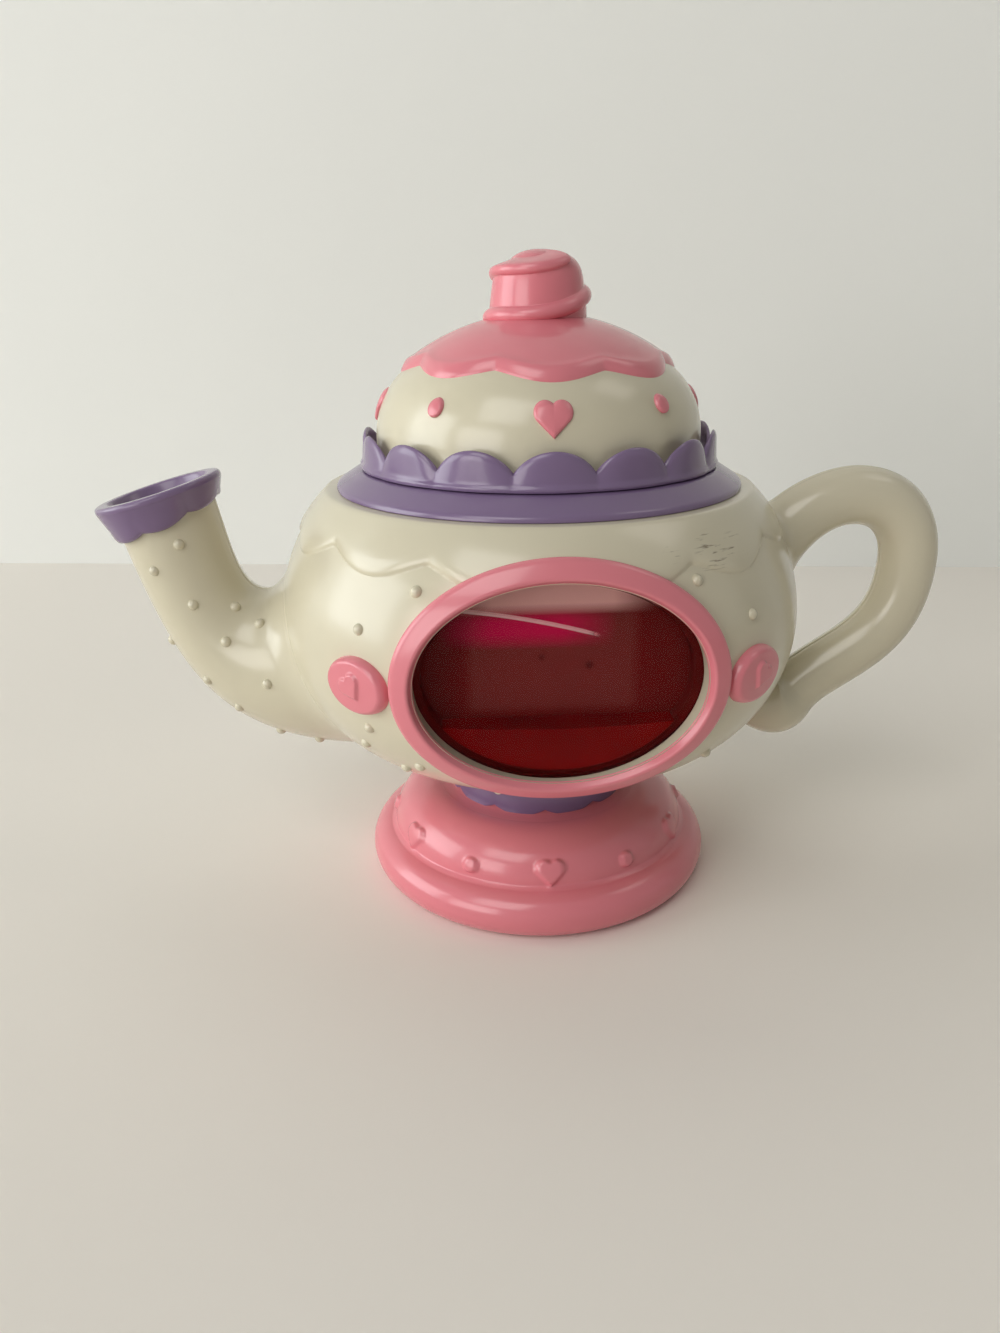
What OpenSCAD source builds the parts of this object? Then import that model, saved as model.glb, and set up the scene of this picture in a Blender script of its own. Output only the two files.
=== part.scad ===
// Toy teapot on a pedestal: a bowl moulded in two halves with a window into a sealed tank of red tea,
// a hollow spout, a loop handle and a lift-off lid with a swirled knob.
// Millimetres. The origin is on the table under the bowl's axis, the window faces -Y, the spout points to -X.

/* [Bowl] */
// Radius of the bowl at its widest
bowl_r = 70.4; // [68:0.2:74]
// Radius of the arc from the widest ring up to the mouth
shoulder_arc = 46; // [44:0.5:48]
// Radius of the arc just under the widest ring
haunch_arc = 38; // [35:0.5:40]
// Drop from the widest ring to the lowest point of the full curve
bowl_depth = 47.5; // [46:0.5:50]
// Drop from the widest ring to the flat underside
floor_drop = 43; // [41:0.5:44]
// Rise from the widest ring to the flat mouth
mouth_rise = 34.5; // [33:0.5:36]
// Wall of the moulded shells
wall = 2.4; // [2:0.1:3]

/* [Icing on the bowl] */
// Thickness of the raised icing round the mouth
icing_t = 1.2; // [0.8:0.1:1.6]
// How far the icing's edge lies inside the widest ring, in plan, between its drips
icing_inset = 8; // [7.4:0.1:8.8]
// How far a drip reaches past that edge
icing_drip = 2.8; // [2:0.1:3.4]
// Drips round the bowl
icing_drips = 13; // [9:1:16]

/* [Pearls] */
// Diameter of a moulded pearl
pearl_d = 3; // [2.4:0.1:3.6]
// How far a pearl's centre lies under the bowl's surface
pearl_sink = 0.4; // [0.3:0.05:0.6]

/* [Window] */
// Half width of the oval opening
window_a = 33.5; // [31:0.5:35]
// Half height of the oval opening
window_b = 24.5; // [23:0.5:25.5]
// Height of the window's centre below the widest ring
window_drop = 0.7; // [-1:0.1:2]
// Width of the pink frame's face
frame_w = 5; // [4:0.1:5.4]
// How far the frame stands off the bowl
frame_t = 2.2; // [1.6:0.1:3]
// Wall of the sleeve behind the opening
sleeve_t = 1.8; // [1.5:0.1:2.2]
// How far the sleeve's back lies inside the bowl's widest ring
sleeve_inset = 13.9; // [13.4:0.1:14.4]
// Radius of the lens's domed front
lens_dome = 140; // [120:1:180]
// How far the lens's front lies inside the bowl's widest ring
lens_inset = 9.4; // [8.4:0.1:9.9]
// Wall of the lens
lens_t = 1.5; // [1.2:0.1:1.8]
// Thickness of the lens's flange
lens_flange_t = 1.6; // [1.2:0.1:2]
// Reach of the lens's flange past the oval opening
lens_flange_w = 0.8; // [0.6:0.1:0.9]

/* [Tea tank] */
// Thickness of the tray's flange
tray_flange_t = 1.8; // [1.4:0.1:2.2]
// Depth of the tray behind its flange
tray_depth = 4.3; // [3.5:0.1:5]
// Back wall of the tray
tray_wall = 2; // [1.6:0.1:2.4]
// Level of the tea below the window's centre
tea_drop = 11.5; // [6:0.5:16]
// Radius of the filler hole
filler_r = 3; // [2.5:0.1:3.5]
// Half height of the strap that holds the tray
strap_r = 3.8; // [3.4:0.1:4.2]
// Thickness of the strap
strap_t = 2.2; // [1.8:0.1:2.6]

/* [Medallions] */
// Half width of a medallion
medallion_a = 9.3; // [8:0.1:10]
// Half height of a medallion
medallion_b = 7.1; // [6.5:0.1:8]
// Angle of a medallion from the front
medallion_angle = 41; // [40.5:0.1:44]
// Thickness of a medallion
medallion_t = 2.4; // [1.8:0.1:3]

/* [Spout] */
// Reach of the mouth's centre beyond the bowl's widest ring
spout_reach = 30.6; // [28:0.2:33]
// Height of the mouth's centre above the widest ring
spout_rise = 33; // [31:0.5:35]
// Outer radius of the spout at its mouth
spout_mouth_r = 13.3; // [12.6:0.1:13.8]
// Outer radius of the spout at its root
spout_root_r = 30.5; // [29:0.5:31]
// Radius of the hole through the bowl's wall
spout_hole_r = 16; // [14:0.5:18]
// Height of the purple rim
rim_h = 8.2; // [7:0.1:9.5]
// Outer radius of the purple rim at its lip
rim_r = 17; // [16.4:0.1:17.6]
// How far the rim's side draws in towards its drips
rim_taper = 1.8; // [1:0.1:2.2]

/* [Handle] */
// Reach of the handle's centre line beyond the bowl's widest ring
handle_reach = 34.9; // [33:0.1:37]
// Outer radius of the handle
handle_r = 7.9; // [7.4:0.1:8.6]
// Radius of the round lower end
handle_end_r = 10.4; // [9.6:0.1:11]

/* [Collar] */
// Height of the collar above the bowl's mouth
collar_h = 5.1; // [4.5:0.1:6]
// How far the collar's edge lies inside the bowl's mouth
collar_inset = 1.2; // [0.6:0.1:1.6]
// Run of the collar's sloping side
collar_slope = 6.2; // [5.4:0.1:7]
// Width of the collar's flat top
collar_ledge = 5.4; // [5:0.1:6.2]

/* [Lid] */
// How far the dome's wall lies over the collar's ledge
dome_lap = 0.5; // [0.4:0.05:1]
// Height of the dome's curve
dome_h = 29; // [27:0.5:31]
// Radius of the arc at the dome's side
dome_arc = 22; // [20:0.5:24]
// Height of the dome's upright wall
dome_wall_h = 7.2; // [6.5:0.1:8]
// Depth of the plug under the dome
plug_h = 6.6; // [5:0.1:8]
// Wall of the lid
lid_wall = 2.2; // [1.8:0.1:2.6]
// Lobes of the ruffle
ruffle_lobes = 15; // [12:1:16]
// Reach of the ruffle's lobes past the dome's wall
ruffle_w = 4.7; // [4.3:0.1:5.4]
// Height of a lobe's top above the collar
ruffle_h = 9; // [8:0.1:10]
// Depth of the notch between two lobes
ruffle_notch = 5.4; // [4.5:0.1:6]
// Thickness of the pink icing
lid_icing_t = 1.3; // [1:0.1:1.7]
// How far the pink icing's edge lies inside the dome's wall, in plan, between its drips
lid_icing_inset = 9.5; // [8.5:0.1:10.5]
// How far a pink drip reaches past that edge
lid_icing_drip = 2.4; // [1.6:0.1:3.2]
// Drips round the pink icing
lid_icing_drips = 8; // [6:1:10]
// Width of a heart
heart_w = 9; // [7:0.1:10]
// Radius of a dot
dot_r = 2.2; // [1.8:0.1:2.6]
// Angle of a dot from the front and back hearts
dot_angle = 41; // [38:0.5:46]
// Height of the hearts and dots
relief_t = 1; // [0.6:0.1:1.4]
// Radius of the knob at its base
knob_r = 13.6; // [12.5:0.1:14.5]
// Height of the knob's top above the dome's crown
knob_h = 16; // [14:0.5:18]
// Height of the swirl's bead
swirl_depth = 1.7; // [1:0.1:2]
// Half width of the swirl's bead
swirl_w = 1.5; // [1.2:0.1:1.8]
// Rise of the swirl in one turn
swirl_pitch = 12; // [10:0.5:13]

/* [Pedestal] */
// Outer radius of the foot
foot_r = 50; // [48:0.5:52]
// Radius of the foot's round bead
bead_r = 6.5; // [6:0.1:7]
// Height of the pedestal
pedestal_h = 36; // [35:0.5:38]
// Radius of the arc over the bell
bell_arc = 12.5; // [11.5:0.1:13.2]
// Outer radius of the neck
neck_r = 24; // [23:0.5:25]
// Thickness of the purple skirt round the neck
skirt_t = 1.8; // [1.4:0.1:2.2]
// Height of the purple skirt between its drips
skirt_h = 9.6; // [8:0.1:10]
// Thickness of the plate that closes the foot
plate_t = 2.4; // [2:0.1:3]

/* [Fits and screws] */
// Gap between pieces fixed to each other
seat = 0.05; // [0.03:0.01:0.1]
// Gap between the lid and the collar
lid_gap = 0.25; // [0.2:0.05:0.3]
// Radius of a screw's shank
screw_r = 1.25; // [1:0.05:1.5]
// Radius of a screw's head
head_r = 3; // [2.6:0.1:3.2]
// Height of a screw's head
head_h = 2.2; // [1.8:0.1:2.4]
// Grip of a pedestal screw in the bowl's floor boss
floor_grip = 8; // [7:0.5:8.5]
// Grip of a strap screw in its boss
strap_grip = 4; // [3.5:0.1:4.3]
// Grip of the knob's screw
knob_grip = 9; // [7:0.5:10]

/* [Hidden] */

$fn = 96;
cream = "#e4e2c9";
pink = "#e57389";
purple = "#8566a6";
steel = "#b4b7ba";
far = 200;

bowl_z = pedestal_h + floor_drop;
icing_r = bowl_r - icing_inset;
icing_drip_r = icing_r + icing_drip;
sleeve_y = bowl_r - sleeve_inset;
lens_y = bowl_r - lens_inset;
collar_r = bowl_r - shoulder_arc + sqrt(pow(shoulder_arc, 2) - pow(mouth_rise, 2)) - collar_inset;
collar_top_r = collar_r - collar_slope;
mouth_r = collar_top_r - collar_ledge;
dome_r = mouth_r + dome_lap;
ruffle_r = dome_r + ruffle_w;
lid_icing_r = dome_r - lid_icing_inset;
lid_icing_drip_r = lid_icing_r + lid_icing_drip;
mouth_z = bowl_z + mouth_rise;
window_z = bowl_z - window_drop;
collar_z = mouth_z + collar_h;
lid_z = collar_z + lid_gap;
dome_z = lid_z + dome_wall_h;
crown_z = dome_z + dome_h;

// Screw places as [x, z] on the parting plane, for the shells, and as [x, y] on the floor, for the pedestal.
shell_boss = [for (sx = [-1, 1]) each [[sx * (bowl_r - 18.4), bowl_z + 19], [sx * (neck_r + 10), bowl_z - 32]]];
floor_boss = [for (sx = [-1, 1], sy = [-1, 1]) [sx * 10, sy * 10]];
strap_x = sqrt(pow(bowl_r - wall, 2) - pow(tray_back_y() - strap_t, 2)) - 6.4;
boss_r = 3.6;
rear_boss_r = head_r + 1.4;
screw_seat_y = 5;
screw_grip = 9;
strap_boss_r = 3.4;

// Distances from the axis of the planes in the window's stack.
function tray_front_y() = sleeve_y - lens_flange_t;
function cup_y() = tray_front_y() - tray_flange_t;
function tray_back_y() = cup_y() - tray_depth;
cavity_inset = lens_t + 0.25;

// A quarter of an oval: an end arc of radius r at half width a, and a crown arc that meets it smoothly at height h.
// With a lap the crown arc stands back a little, so that the two arcs cross instead of touching.
function crown_arc(a, h, r) = (pow(a - r, 2) + h * h - r * r) / (2 * (h - r));
module quarter_oval(a, h, r, off = 0, lap = 0) {
    crown = crown_arc(a, h, r);
    joint_x = (a - r) + (r + off) * (a - r) / (crown - r);
    overlap = lap > 0 ? 6 : 0;
    intersection() {
        translate([a - r, 0]) circle(r + off);
        translate([joint_x - overlap, 0]) square(a + h);
    }
    intersection() {
        translate([0, h - crown]) circle(crown + off - lap);
        square([joint_x, a + h]);
    }
}

module oval(a, h, off = 0) {
    scale([a + off, h + off]) circle(1);
}

module heart(width) {
    side = width / (1 + sqrt(2) / 2);
    translate([0, -side * 0.75]) rotate(45) {
        square(side);
        translate([side / 2, side]) circle(side / 2);
        translate([side, side / 2]) circle(side / 2);
    }
}

// A prism that points out of the axis at an angle from the front, at height z, from radius r0 outwards.
module radial(angle, z, r0, length) {
    rotate([0, 0, angle]) translate([0, -r0, z]) rotate([90, 0, 0]) linear_extrude(length) children();
}

// A round outline with even scallops: a disc and a ring of smaller discs that reach past it.
module scalloped(r, reach, count, lobe, turn = 0) {
    circle(r);
    for (i = [0 : count - 1]) {
        rotate(turn + i * 360 / count) translate([0, lobe - reach]) circle(lobe);
    }
}

module in_front() {
    rotate([0, 0, 180]) children();
}

// The bowl's half outline, grown by off.
module bowl_outline(off = 0) {
    translate([0, bowl_z]) {
        intersection() {
            translate([bowl_r - shoulder_arc, 0]) circle(shoulder_arc + off);
            translate([bowl_r - shoulder_arc, 0]) square([far, mouth_rise]);
        }
        square([bowl_r - shoulder_arc, mouth_rise]);
        mirror([0, 1]) intersection() {
            quarter_oval(bowl_r, bowl_depth, haunch_arc, off, 0.05);
            square([far, floor_drop + min(off, 0)]);
        }
    }
}

module bowl_half(off = 0) {
    rotate_extrude(angle = 180) bowl_outline(off);
}

module bowl_solid(off = 0) {
    rotate_extrude() bowl_outline(off);
}

module icing_prism(grow = 0) {
    lobe = 7.5;
    translate([0, 0, bowl_z]) linear_extrude(far)
        scalloped(icing_r + grow, icing_drip_r + grow, icing_drips, lobe, 180 / icing_drips);
}

// The icing parts round the handle's upper root.
module handle_notch() {
    translate([bowl_r - 18.8, 0, bowl_z + 5.2]) rotate([0, 50, 0]) cylinder(r = handle_r + 2.6, h = 50);
}

module window_prism(y0, length, off = 0) {
    translate([0, -y0, window_z]) rotate([90, 0, 0]) linear_extrude(length)
        oval(window_a, window_b, off);
}

// Screw bosses run along Y from the parting plane.
module boss(p, r, y0 = 0) {
    translate([p[0], y0, p[1]]) rotate([-90, 0, 0]) cylinder(r = r, h = bowl_r);
}

module bore_y(p, r, y0, y1) {
    translate([p[0], y0, p[1]]) rotate([-90, 0, 0]) cylinder(r = r, h = y1 - y0);
}

module spout_hole() {
    root = spout_path(0);
    heading = spout_heading(0);
    translate([root[0], 0, root[1]]) rotate([0, atan2(heading[0], heading[1]), 0])
        translate([0, 0, -10]) cylinder(r = spout_hole_r, h = 50);
}

// Pearls on the bowl as [angle from the front, height from the widest ring].
front_pearls = [[-41, 11], [-29, 21], [-41, -14], [-46, -21], [-38, -27], [-32, -24], [-15, -31], [28, 22], [41, 12],
    [38, -25]];
rear_pearls = [[-60, 12], [-34, 18], [-12, 6], [14, 16], [40, 4], [62, 14], [-48, -14], [-22, -18], [6, -12],
    [30, -22], [54, -16]];

// Each pearl's centre is sunk into the wall, and its poles lie sideways under the surface.
module pearls_on_bowl(places) {
    for (p = places) {
        arc = p[1] >= 0 ? shoulder_arc : haunch_arc;
        depth = (arc - pearl_sink) / arc;
        reach = bowl_r - arc + depth * sqrt(arc * arc - p[1] * p[1]);
        rotate([0, 0, p[0]]) translate([0, -reach, bowl_z + depth * p[1]]) rotate([0, 90, 0])
            sphere(d = pearl_d, $fn = 24);
    }
}

module shell_floor_bosses(sign) {
    for (p = floor_boss) {
        if (p[1] * sign > 0) translate([p[0], p[1], pedestal_h]) cylinder(r = boss_r, h = 10);
    }
}

module shell_floor_pilots() {
    for (p = floor_boss) translate([p[0], p[1], pedestal_h - 1]) cylinder(r = screw_r + seat, h = 10);
}

module front_shell() {
    color(cream) difference() {
        union() {
            in_front() bowl_half();
            difference() {
                intersection() {
                    in_front() bowl_half(icing_t);
                    icing_prism();
                }
                window_prism(0, far, frame_w + 4 * seat);
                handle_notch();
            }
            pearls_on_bowl(front_pearls);
        }
        difference() {
            in_front() bowl_half(-wall);
            window_prism(sleeve_y, far, sleeve_t);
            for (p = shell_boss) mirror([0, 1, 0]) boss(p, boss_r);
            for (sx = [-1, 1]) mirror([0, 1, 0]) boss([sx * strap_x, window_z], strap_boss_r, tray_back_y());
            shell_floor_bosses(-1);
        }
        window_prism(0, far);
        for (p = shell_boss) bore_y(p, screw_r + seat, -screw_grip - 1, 1);
        for (sx = [-1, 1]) bore_y([sx * strap_x, window_z], screw_r + seat, -tray_back_y() - 4.5, -tray_back_y() + 1);
        shell_floor_pilots();
        spout_hole();
    }
}

module rear_shell() {
    color(cream) difference() {
        union() {
            bowl_half();
            difference() {
                intersection() {
                    bowl_half(icing_t);
                    icing_prism();
                }
                handle_notch();
            }
            rotate([0, 0, 180]) pearls_on_bowl(rear_pearls);
        }
        difference() {
            bowl_half(-wall);
            for (p = shell_boss) boss(p, rear_boss_r);
            shell_floor_bosses(1);
        }
        for (p = shell_boss) {
            bore_y(p, screw_r + 0.4, -1, far);
            bore_y(p, head_r + 0.3, screw_seat_y, far);
        }
        shell_floor_pilots();
        spout_hole();
    }
}

// A cubic curve in the XZ plane, and its heading.
function curve(p, t) = pow(1 - t, 3) * p[0] + 3 * pow(1 - t, 2) * t * p[1]
    + 3 * (1 - t) * t * t * p[2] + pow(t, 3) * p[3];
function slope(p, t) = pow(1 - t, 2) * (p[1] - p[0]) + 2 * (1 - t) * t * (p[2] - p[1]) + t * t * (p[3] - p[2]);
function unit(v) = v / norm(v);

spout_mouth = [-bowl_r - spout_reach, bowl_z + spout_rise];
spout_poles = [
    [-bowl_r + 20.4, bowl_z - 9.5],
    [-bowl_r - 20.7, bowl_z - 23.8],
    spout_mouth + [8.5, -31.1],
    spout_mouth];
function spout_path(t) = curve(spout_poles, t);
spout_turn = [for (t = [0, 1]) (360 + atan2(slope(spout_poles, t)[1], slope(spout_poles, t)[0])) % 360];
function spout_angle(t) = spout_turn[0] + (spout_turn[1] - spout_turn[0]) * pow(t, 0.92);
function spout_heading(t) = [cos(spout_angle(t)), sin(spout_angle(t))];
function spout_radius(t) = spout_mouth_r + (spout_root_r - spout_mouth_r) * pow(1 - t, 3);

// The handle's curve: out and over the top, down and back in, and a curl into the bowl.
handle_far = [bowl_r + handle_reach, bowl_z + 10];
handle_low = [bowl_r + 5.7, bowl_z - 28.2];
handle_poles = [
    [[bowl_r - 13, bowl_z - 4], [bowl_r - 4.2, bowl_z + 36], [handle_far[0], bowl_z + 37.5], handle_far],
    [handle_far, [handle_far[0], bowl_z - 14.8], [bowl_r + 17.6, bowl_z - 17.1], handle_low],
    [handle_low, handle_low + [-4.4, -4.1], [bowl_r - 2.2, bowl_z - 34.4], [bowl_r - 15.4, bowl_z - 26]]];
function handle_path(t) = curve(handle_poles[min(floor(t), 2)], t - min(floor(t), 2));
function handle_heading(t) = unit(slope(handle_poles[min(floor(t), 2)], t - min(floor(t), 2)));
function handle_radius(t) = t < 2
    ? handle_r + 3 * pow(max(0, 1 - t / 0.5), 2)
    : (handle_r + (handle_end_r - handle_r) * sin(min(180, 200 * (t - 2)))) * sqrt(1 - 0.85 * pow(t - 2, 5));

// One side of a tube from rows of half rings, open at both ends, side -1 in front of the parting plane and 1 behind it.
// Each row runs out over the top on the outer wall and back on the inner one, at the angles of ring_angle.
function ring_angle(j, sides) = 180 * (j <= sides ? j : 2 * sides + 1 - j) / sides;
function ring_inset(j, sides) = j <= sides ? 0 : wall;
module half_tube(rows, sides, side) {
    ring = 2 * (sides + 1);
    points = [for (row = rows, p = row) [p[0], side * p[1], p[2]]];
    walls = [for (i = [0 : len(rows) - 2], j = [0 : ring - 1]) let (
            k = (j + 1) % ring, a = i * ring + j, b = i * ring + k)
        each [[a, b, b + ring], [a, b + ring, a + ring]]];
    first = [for (j = [0 : sides - 1]) each [[j, ring - 1 - j, ring - 2 - j], [j, ring - 2 - j, j + 1]]];
    shift = (len(rows) - 1) * ring;
    last = [for (f = first) [f[2] + shift, f[1] + shift, f[0] + shift]];
    faces = concat(walls, first, last);
    polyhedron(points, side > 0 ? faces : [for (f = faces) [f[2], f[1], f[0]]]);
}

// A point on a tube's wall: round the centre c, square to heading d, at angle a from the side that d turns away from.
function tube_point(c, d, r, a) = [c[0] - r * cos(a) * d[1], r * sin(a), c[1] + r * cos(a) * d[0]];

// How far a point stands off the bowl.
function bowl_gap(p) = let (
        r = norm([p[0], p[1]]),
        h = p[2] - bowl_z,
        crown = crown_arc(bowl_r, bowl_depth, haunch_arc),
        rise = crown - bowl_depth,
        reach = bowl_r - haunch_arc)
    h >= 0 ? norm([r - bowl_r + shoulder_arc, h]) - shoulder_arc
    : r * rise > reach * (rise - h) ? norm([r - reach, h]) - haunch_arc
    : norm([r, rise - h]) - crown;

// Where a line along the spout's wall leaves the bowl, found by halving.
function spout_point(t, a, inset) = tube_point(spout_path(t), spout_heading(t), spout_radius(t) - inset, a);
function spout_start(a, inset, low = 0, high = 0.7, left = 20) = left == 0 ? high
    : let (middle = (low + high) / 2) bowl_gap(spout_point(middle, a, inset)) > 3 * seat
        ? spout_start(a, inset, low, middle, left - 1)
        : spout_start(a, inset, middle, high, left - 1);

module spout_half(side) {
    steps = 15;
    sides = 14;
    rows = [for (i = [0 : steps]) [for (j = [0 : 2 * sides + 1]) let (
            a = ring_angle(j, sides), inset = ring_inset(j, sides), start = spout_start(a, inset))
        spout_point(start + (1 - start) * i / steps, a, inset)]];
    color(cream) half_tube(rows, sides, side);
}

module spout_front() {
    spout_half(-1);
}

module spout_rear() {
    spout_half(1);
}

module at_mouth() {
    d = spout_heading(1);
    translate([spout_mouth[0], 0, spout_mouth[1]]) rotate([0, atan2(d[0], d[1]), 0]) children();
}

module spout_rim() {
    drips = 7;
    lip = 1.8;
    bore = spout_mouth_r - wall;
    skirt = rim_h * 0.62;
    drip_r = rim_h - skirt + 0.6;
    color(purple) at_mouth() difference() {
        intersection() {
            translate([0, 0, -rim_h - 1]) cylinder(r1 = rim_r - rim_taper, r2 = rim_r, h = rim_h + lip + 1);
            union() {
                translate([0, 0, -skirt]) cylinder(r = rim_r + 5, h = skirt + lip + 5);
                for (i = [0 : drips - 1]) rotate([0, 0, (i + 0.3) * 360 / drips])
                    translate([0, -spout_mouth_r + 3, -skirt + 0.6]) rotate([90, 0, 0]) cylinder(r = drip_r, h = 7.4);
            }
        }
        translate([0, 0, -rim_h - 5]) cylinder(r = spout_mouth_r + 0.15, h = rim_h + 5 + seat);
        translate([0, 0, -rim_h - 5]) cylinder(r = bore, h = rim_h + 15);
    }
}

module handle_half(side) {
    steps = 30;
    sides = 10;
    rows = [for (i = [0 : steps]) let (t = 3 * i / steps) [for (j = [0 : 2 * sides + 1])
        tube_point(handle_path(t), handle_heading(t), handle_radius(t) - ring_inset(j, sides), ring_angle(j, sides))]];
    color(cream) difference() {
        half_tube(rows, sides, side);
        bowl_solid(seat);
    }
}

module handle_front() {
    handle_half(-1);
}

module handle_rear() {
    handle_half(1);
}

module window_frame() {
    color(pink) difference() {
        intersection() {
            in_front() bowl_half(frame_t);
            window_prism(0, far, frame_w);
        }
        bowl_solid(seat);
        window_prism(0, far);
    }
}

// A block with a domed front, as far back as the tray, whose front stands inset behind the lens's.
module domed_block(inset = 0) {
    translate([0, 0, window_z]) rotate([90, 0, 0]) rotate_extrude() intersection() {
        translate([0, lens_y - lens_dome]) circle(lens_dome - inset, $fn = 360);
        translate([0, tray_back_y() - 5]) square([window_a + 15, 40]);
    }
}

// The space that the tea can fill, between the lens and the tray, made smaller by gap.
module tank_space(back_y, gap = 0) {
    intersection() {
        window_prism(back_y, 30, -cavity_inset - gap);
        domed_block(lens_t + gap);
    }
}

module window_lens() {
    color("#b0303c", 0.5) difference() {
        union() {
            window_prism(tray_front_y(), lens_flange_t - seat, lens_flange_w);
            intersection() {
                window_prism(tray_front_y(), 30, -5 * seat);
                domed_block();
            }
        }
        tank_space(tray_front_y() - 1);
    }
}

module tea_tank() {
    color("#8c2230", 0.7) difference() {
        union() {
            window_prism(cup_y(), tray_flange_t - seat, sleeve_t);
            window_prism(tray_back_y(), tray_depth + seat, 0.8);
        }
        window_prism(tray_back_y() + tray_wall, far, -cavity_inset);
        translate(filler_place()) rotate([90, 0, 0]) cylinder(r = filler_r, h = far, center = true);
    }
}

module tea() {
    gap = 0.15;
    color("#7a0a12") intersection() {
        tank_space(tray_back_y() + tray_wall + gap, gap);
        translate([-far / 2, -far, window_z - tea_drop - far]) cube(far);
    }
}

function filler_place() = [window_a * 0.5, -tray_back_y(), window_z - window_b * 0.62];

module filler_plug() {
    color("#3a3a3c") translate(filler_place()) rotate([90, 0, 0]) {
        translate([0, 0, -1]) cylinder(r = filler_r - seat, h = tray_wall + 1 - seat);
        translate([0, 0, -1.6 - seat]) cylinder(r = filler_r + 1.2, h = 1.6);
    }
}

module tank_strap() {
    color(cream) translate([0, -tray_back_y() + seat, window_z]) rotate([-90, 0, 0]) linear_extrude(strap_t)
        difference() {
            union() {
                square([2 * strap_x, 2 * strap_r], center = true);
                for (sx = [-1, 1]) translate([sx * strap_x, 0]) circle(strap_r);
            }
            for (sx = [-1, 1]) translate([sx * strap_x, 0]) circle(screw_r + 0.3);
        }
}

// A screw along +Z whose head sits on z = 0 and whose shank runs down.
module screw(length) {
    translate([0, 0, -length]) cylinder(r = screw_r, h = length);
    cylinder(r1 = head_r, r2 = head_r * 0.72, h = head_h);
}

module tank_screws() {
    color(steel) for (sx = [-1, 1]) {
        translate([sx * strap_x, -tray_back_y() + strap_t + 2 * seat, window_z]) rotate([-90, 0, 0])
            screw(strap_t + strap_grip);
    }
}

module shell_screws() {
    color(steel) for (p = shell_boss) {
        translate([p[0], screw_seat_y + seat, p[1]]) rotate([-90, 0, 0]) screw(screw_seat_y + screw_grip);
    }
}

module pedestal_screws() {
    color(steel) for (p = floor_boss) {
        translate([p[0], p[1], pedestal_h - wall - seat]) mirror([0, 0, 1]) screw(wall + floor_grip);
    }
}

module medallion() {
    angle = medallion_angle;
    centre_z = window_z - 1.6;
    color(pink) difference() {
        union() {
            intersection() {
                in_front() bowl_half(medallion_t);
                radial(angle, centre_z, bowl_r / 3, far) oval(medallion_a, medallion_b);
            }
            intersection() {
                in_front() bowl_half(medallion_t + relief_t);
                radial(angle, centre_z, bowl_r / 3, far) heart(heart_w * 0.8);
            }
        }
        bowl_solid(seat);
    }
}

module left_medallion() {
    mirror([1, 0, 0]) medallion();
}

module right_medallion() {
    medallion();
}

module collar() {
    spigot_r = bowl_r - shoulder_arc + sqrt(pow(shoulder_arc - wall, 2) - pow(mouth_rise, 2)) - 0.25;
    edge = 1.1;
    color(purple) rotate_extrude() polygon([
        [mouth_r, collar_z - 3.1], [mouth_r, collar_z], [collar_top_r, collar_z],
        [collar_r - 0.2, mouth_z + edge], [collar_r, mouth_z + seat], [spigot_r, mouth_z + seat],
        [spigot_r, mouth_z - 3.5], [spigot_r - wall, mouth_z - 3.5], [spigot_r - wall, mouth_z + seat]]);
}

// The pedestal's half outline: a bead on the table, a round bell over it and a neck up to the bowl.
bead_z = bead_r - 0.3;
bell_z = bead_z + bead_r;
bell_r = foot_r - bead_r - 0.5;
module bell_outline(off = 0) {
    translate([bell_r - bell_arc, bell_z]) intersection() {
        circle(bell_arc + off);
        translate([-far, 0]) square(2 * far);
    }
    square([bell_r - bell_arc, bell_z + bell_arc + off]);
}

module pedestal_outline() {
    groove_r = 3.2;
    bead_x = foot_r - bead_r;
    difference() {
        union() {
            translate([bead_x, bead_z]) circle(bead_r);
            square([bead_x, bell_z]);
            bell_outline();
        }
        translate([0, -far]) square([far, far]);
        translate([neck_r + groove_r - 0.6, bell_z + bell_arc]) circle(groove_r);
        translate([neck_r, bell_z + bell_arc - 0.8]) square([groove_r, far]);
    }
    square([neck_r, pedestal_h]);
}

module pedestal_hollow() {
    bead_inside = foot_r - bead_r - 2;
    square([bead_inside, plate_t]);
    square([bead_inside - 2, bell_z - 1]);
    difference() {
        bell_outline(-wall);
        translate([neck_r - wall, 0]) square([6 + wall, far]);
    }
    square([neck_r - wall, pedestal_h - wall]);
}

module pedestal() {
    motifs = 6;
    motif_z = bell_z + bell_arc * 0.34;
    color(pink) difference() {
        union() {
            rotate_extrude() pedestal_outline();
            intersection() {
                rotate_extrude() bell_outline(relief_t);
                for (i = [0 : motifs - 1]) {
                    radial(i * 360 / motifs, motif_z, bell_r - 10, 20) heart(heart_w * 0.9);
                    radial((i + 0.5) * 360 / motifs, motif_z, bell_r - 10, 20) circle(dot_r);
                }
            }
        }
        rotate_extrude() pedestal_hollow();
        for (p = floor_boss) translate([p[0], p[1], 0]) cylinder(r = screw_r + 0.4, h = far);
    }
}

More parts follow.
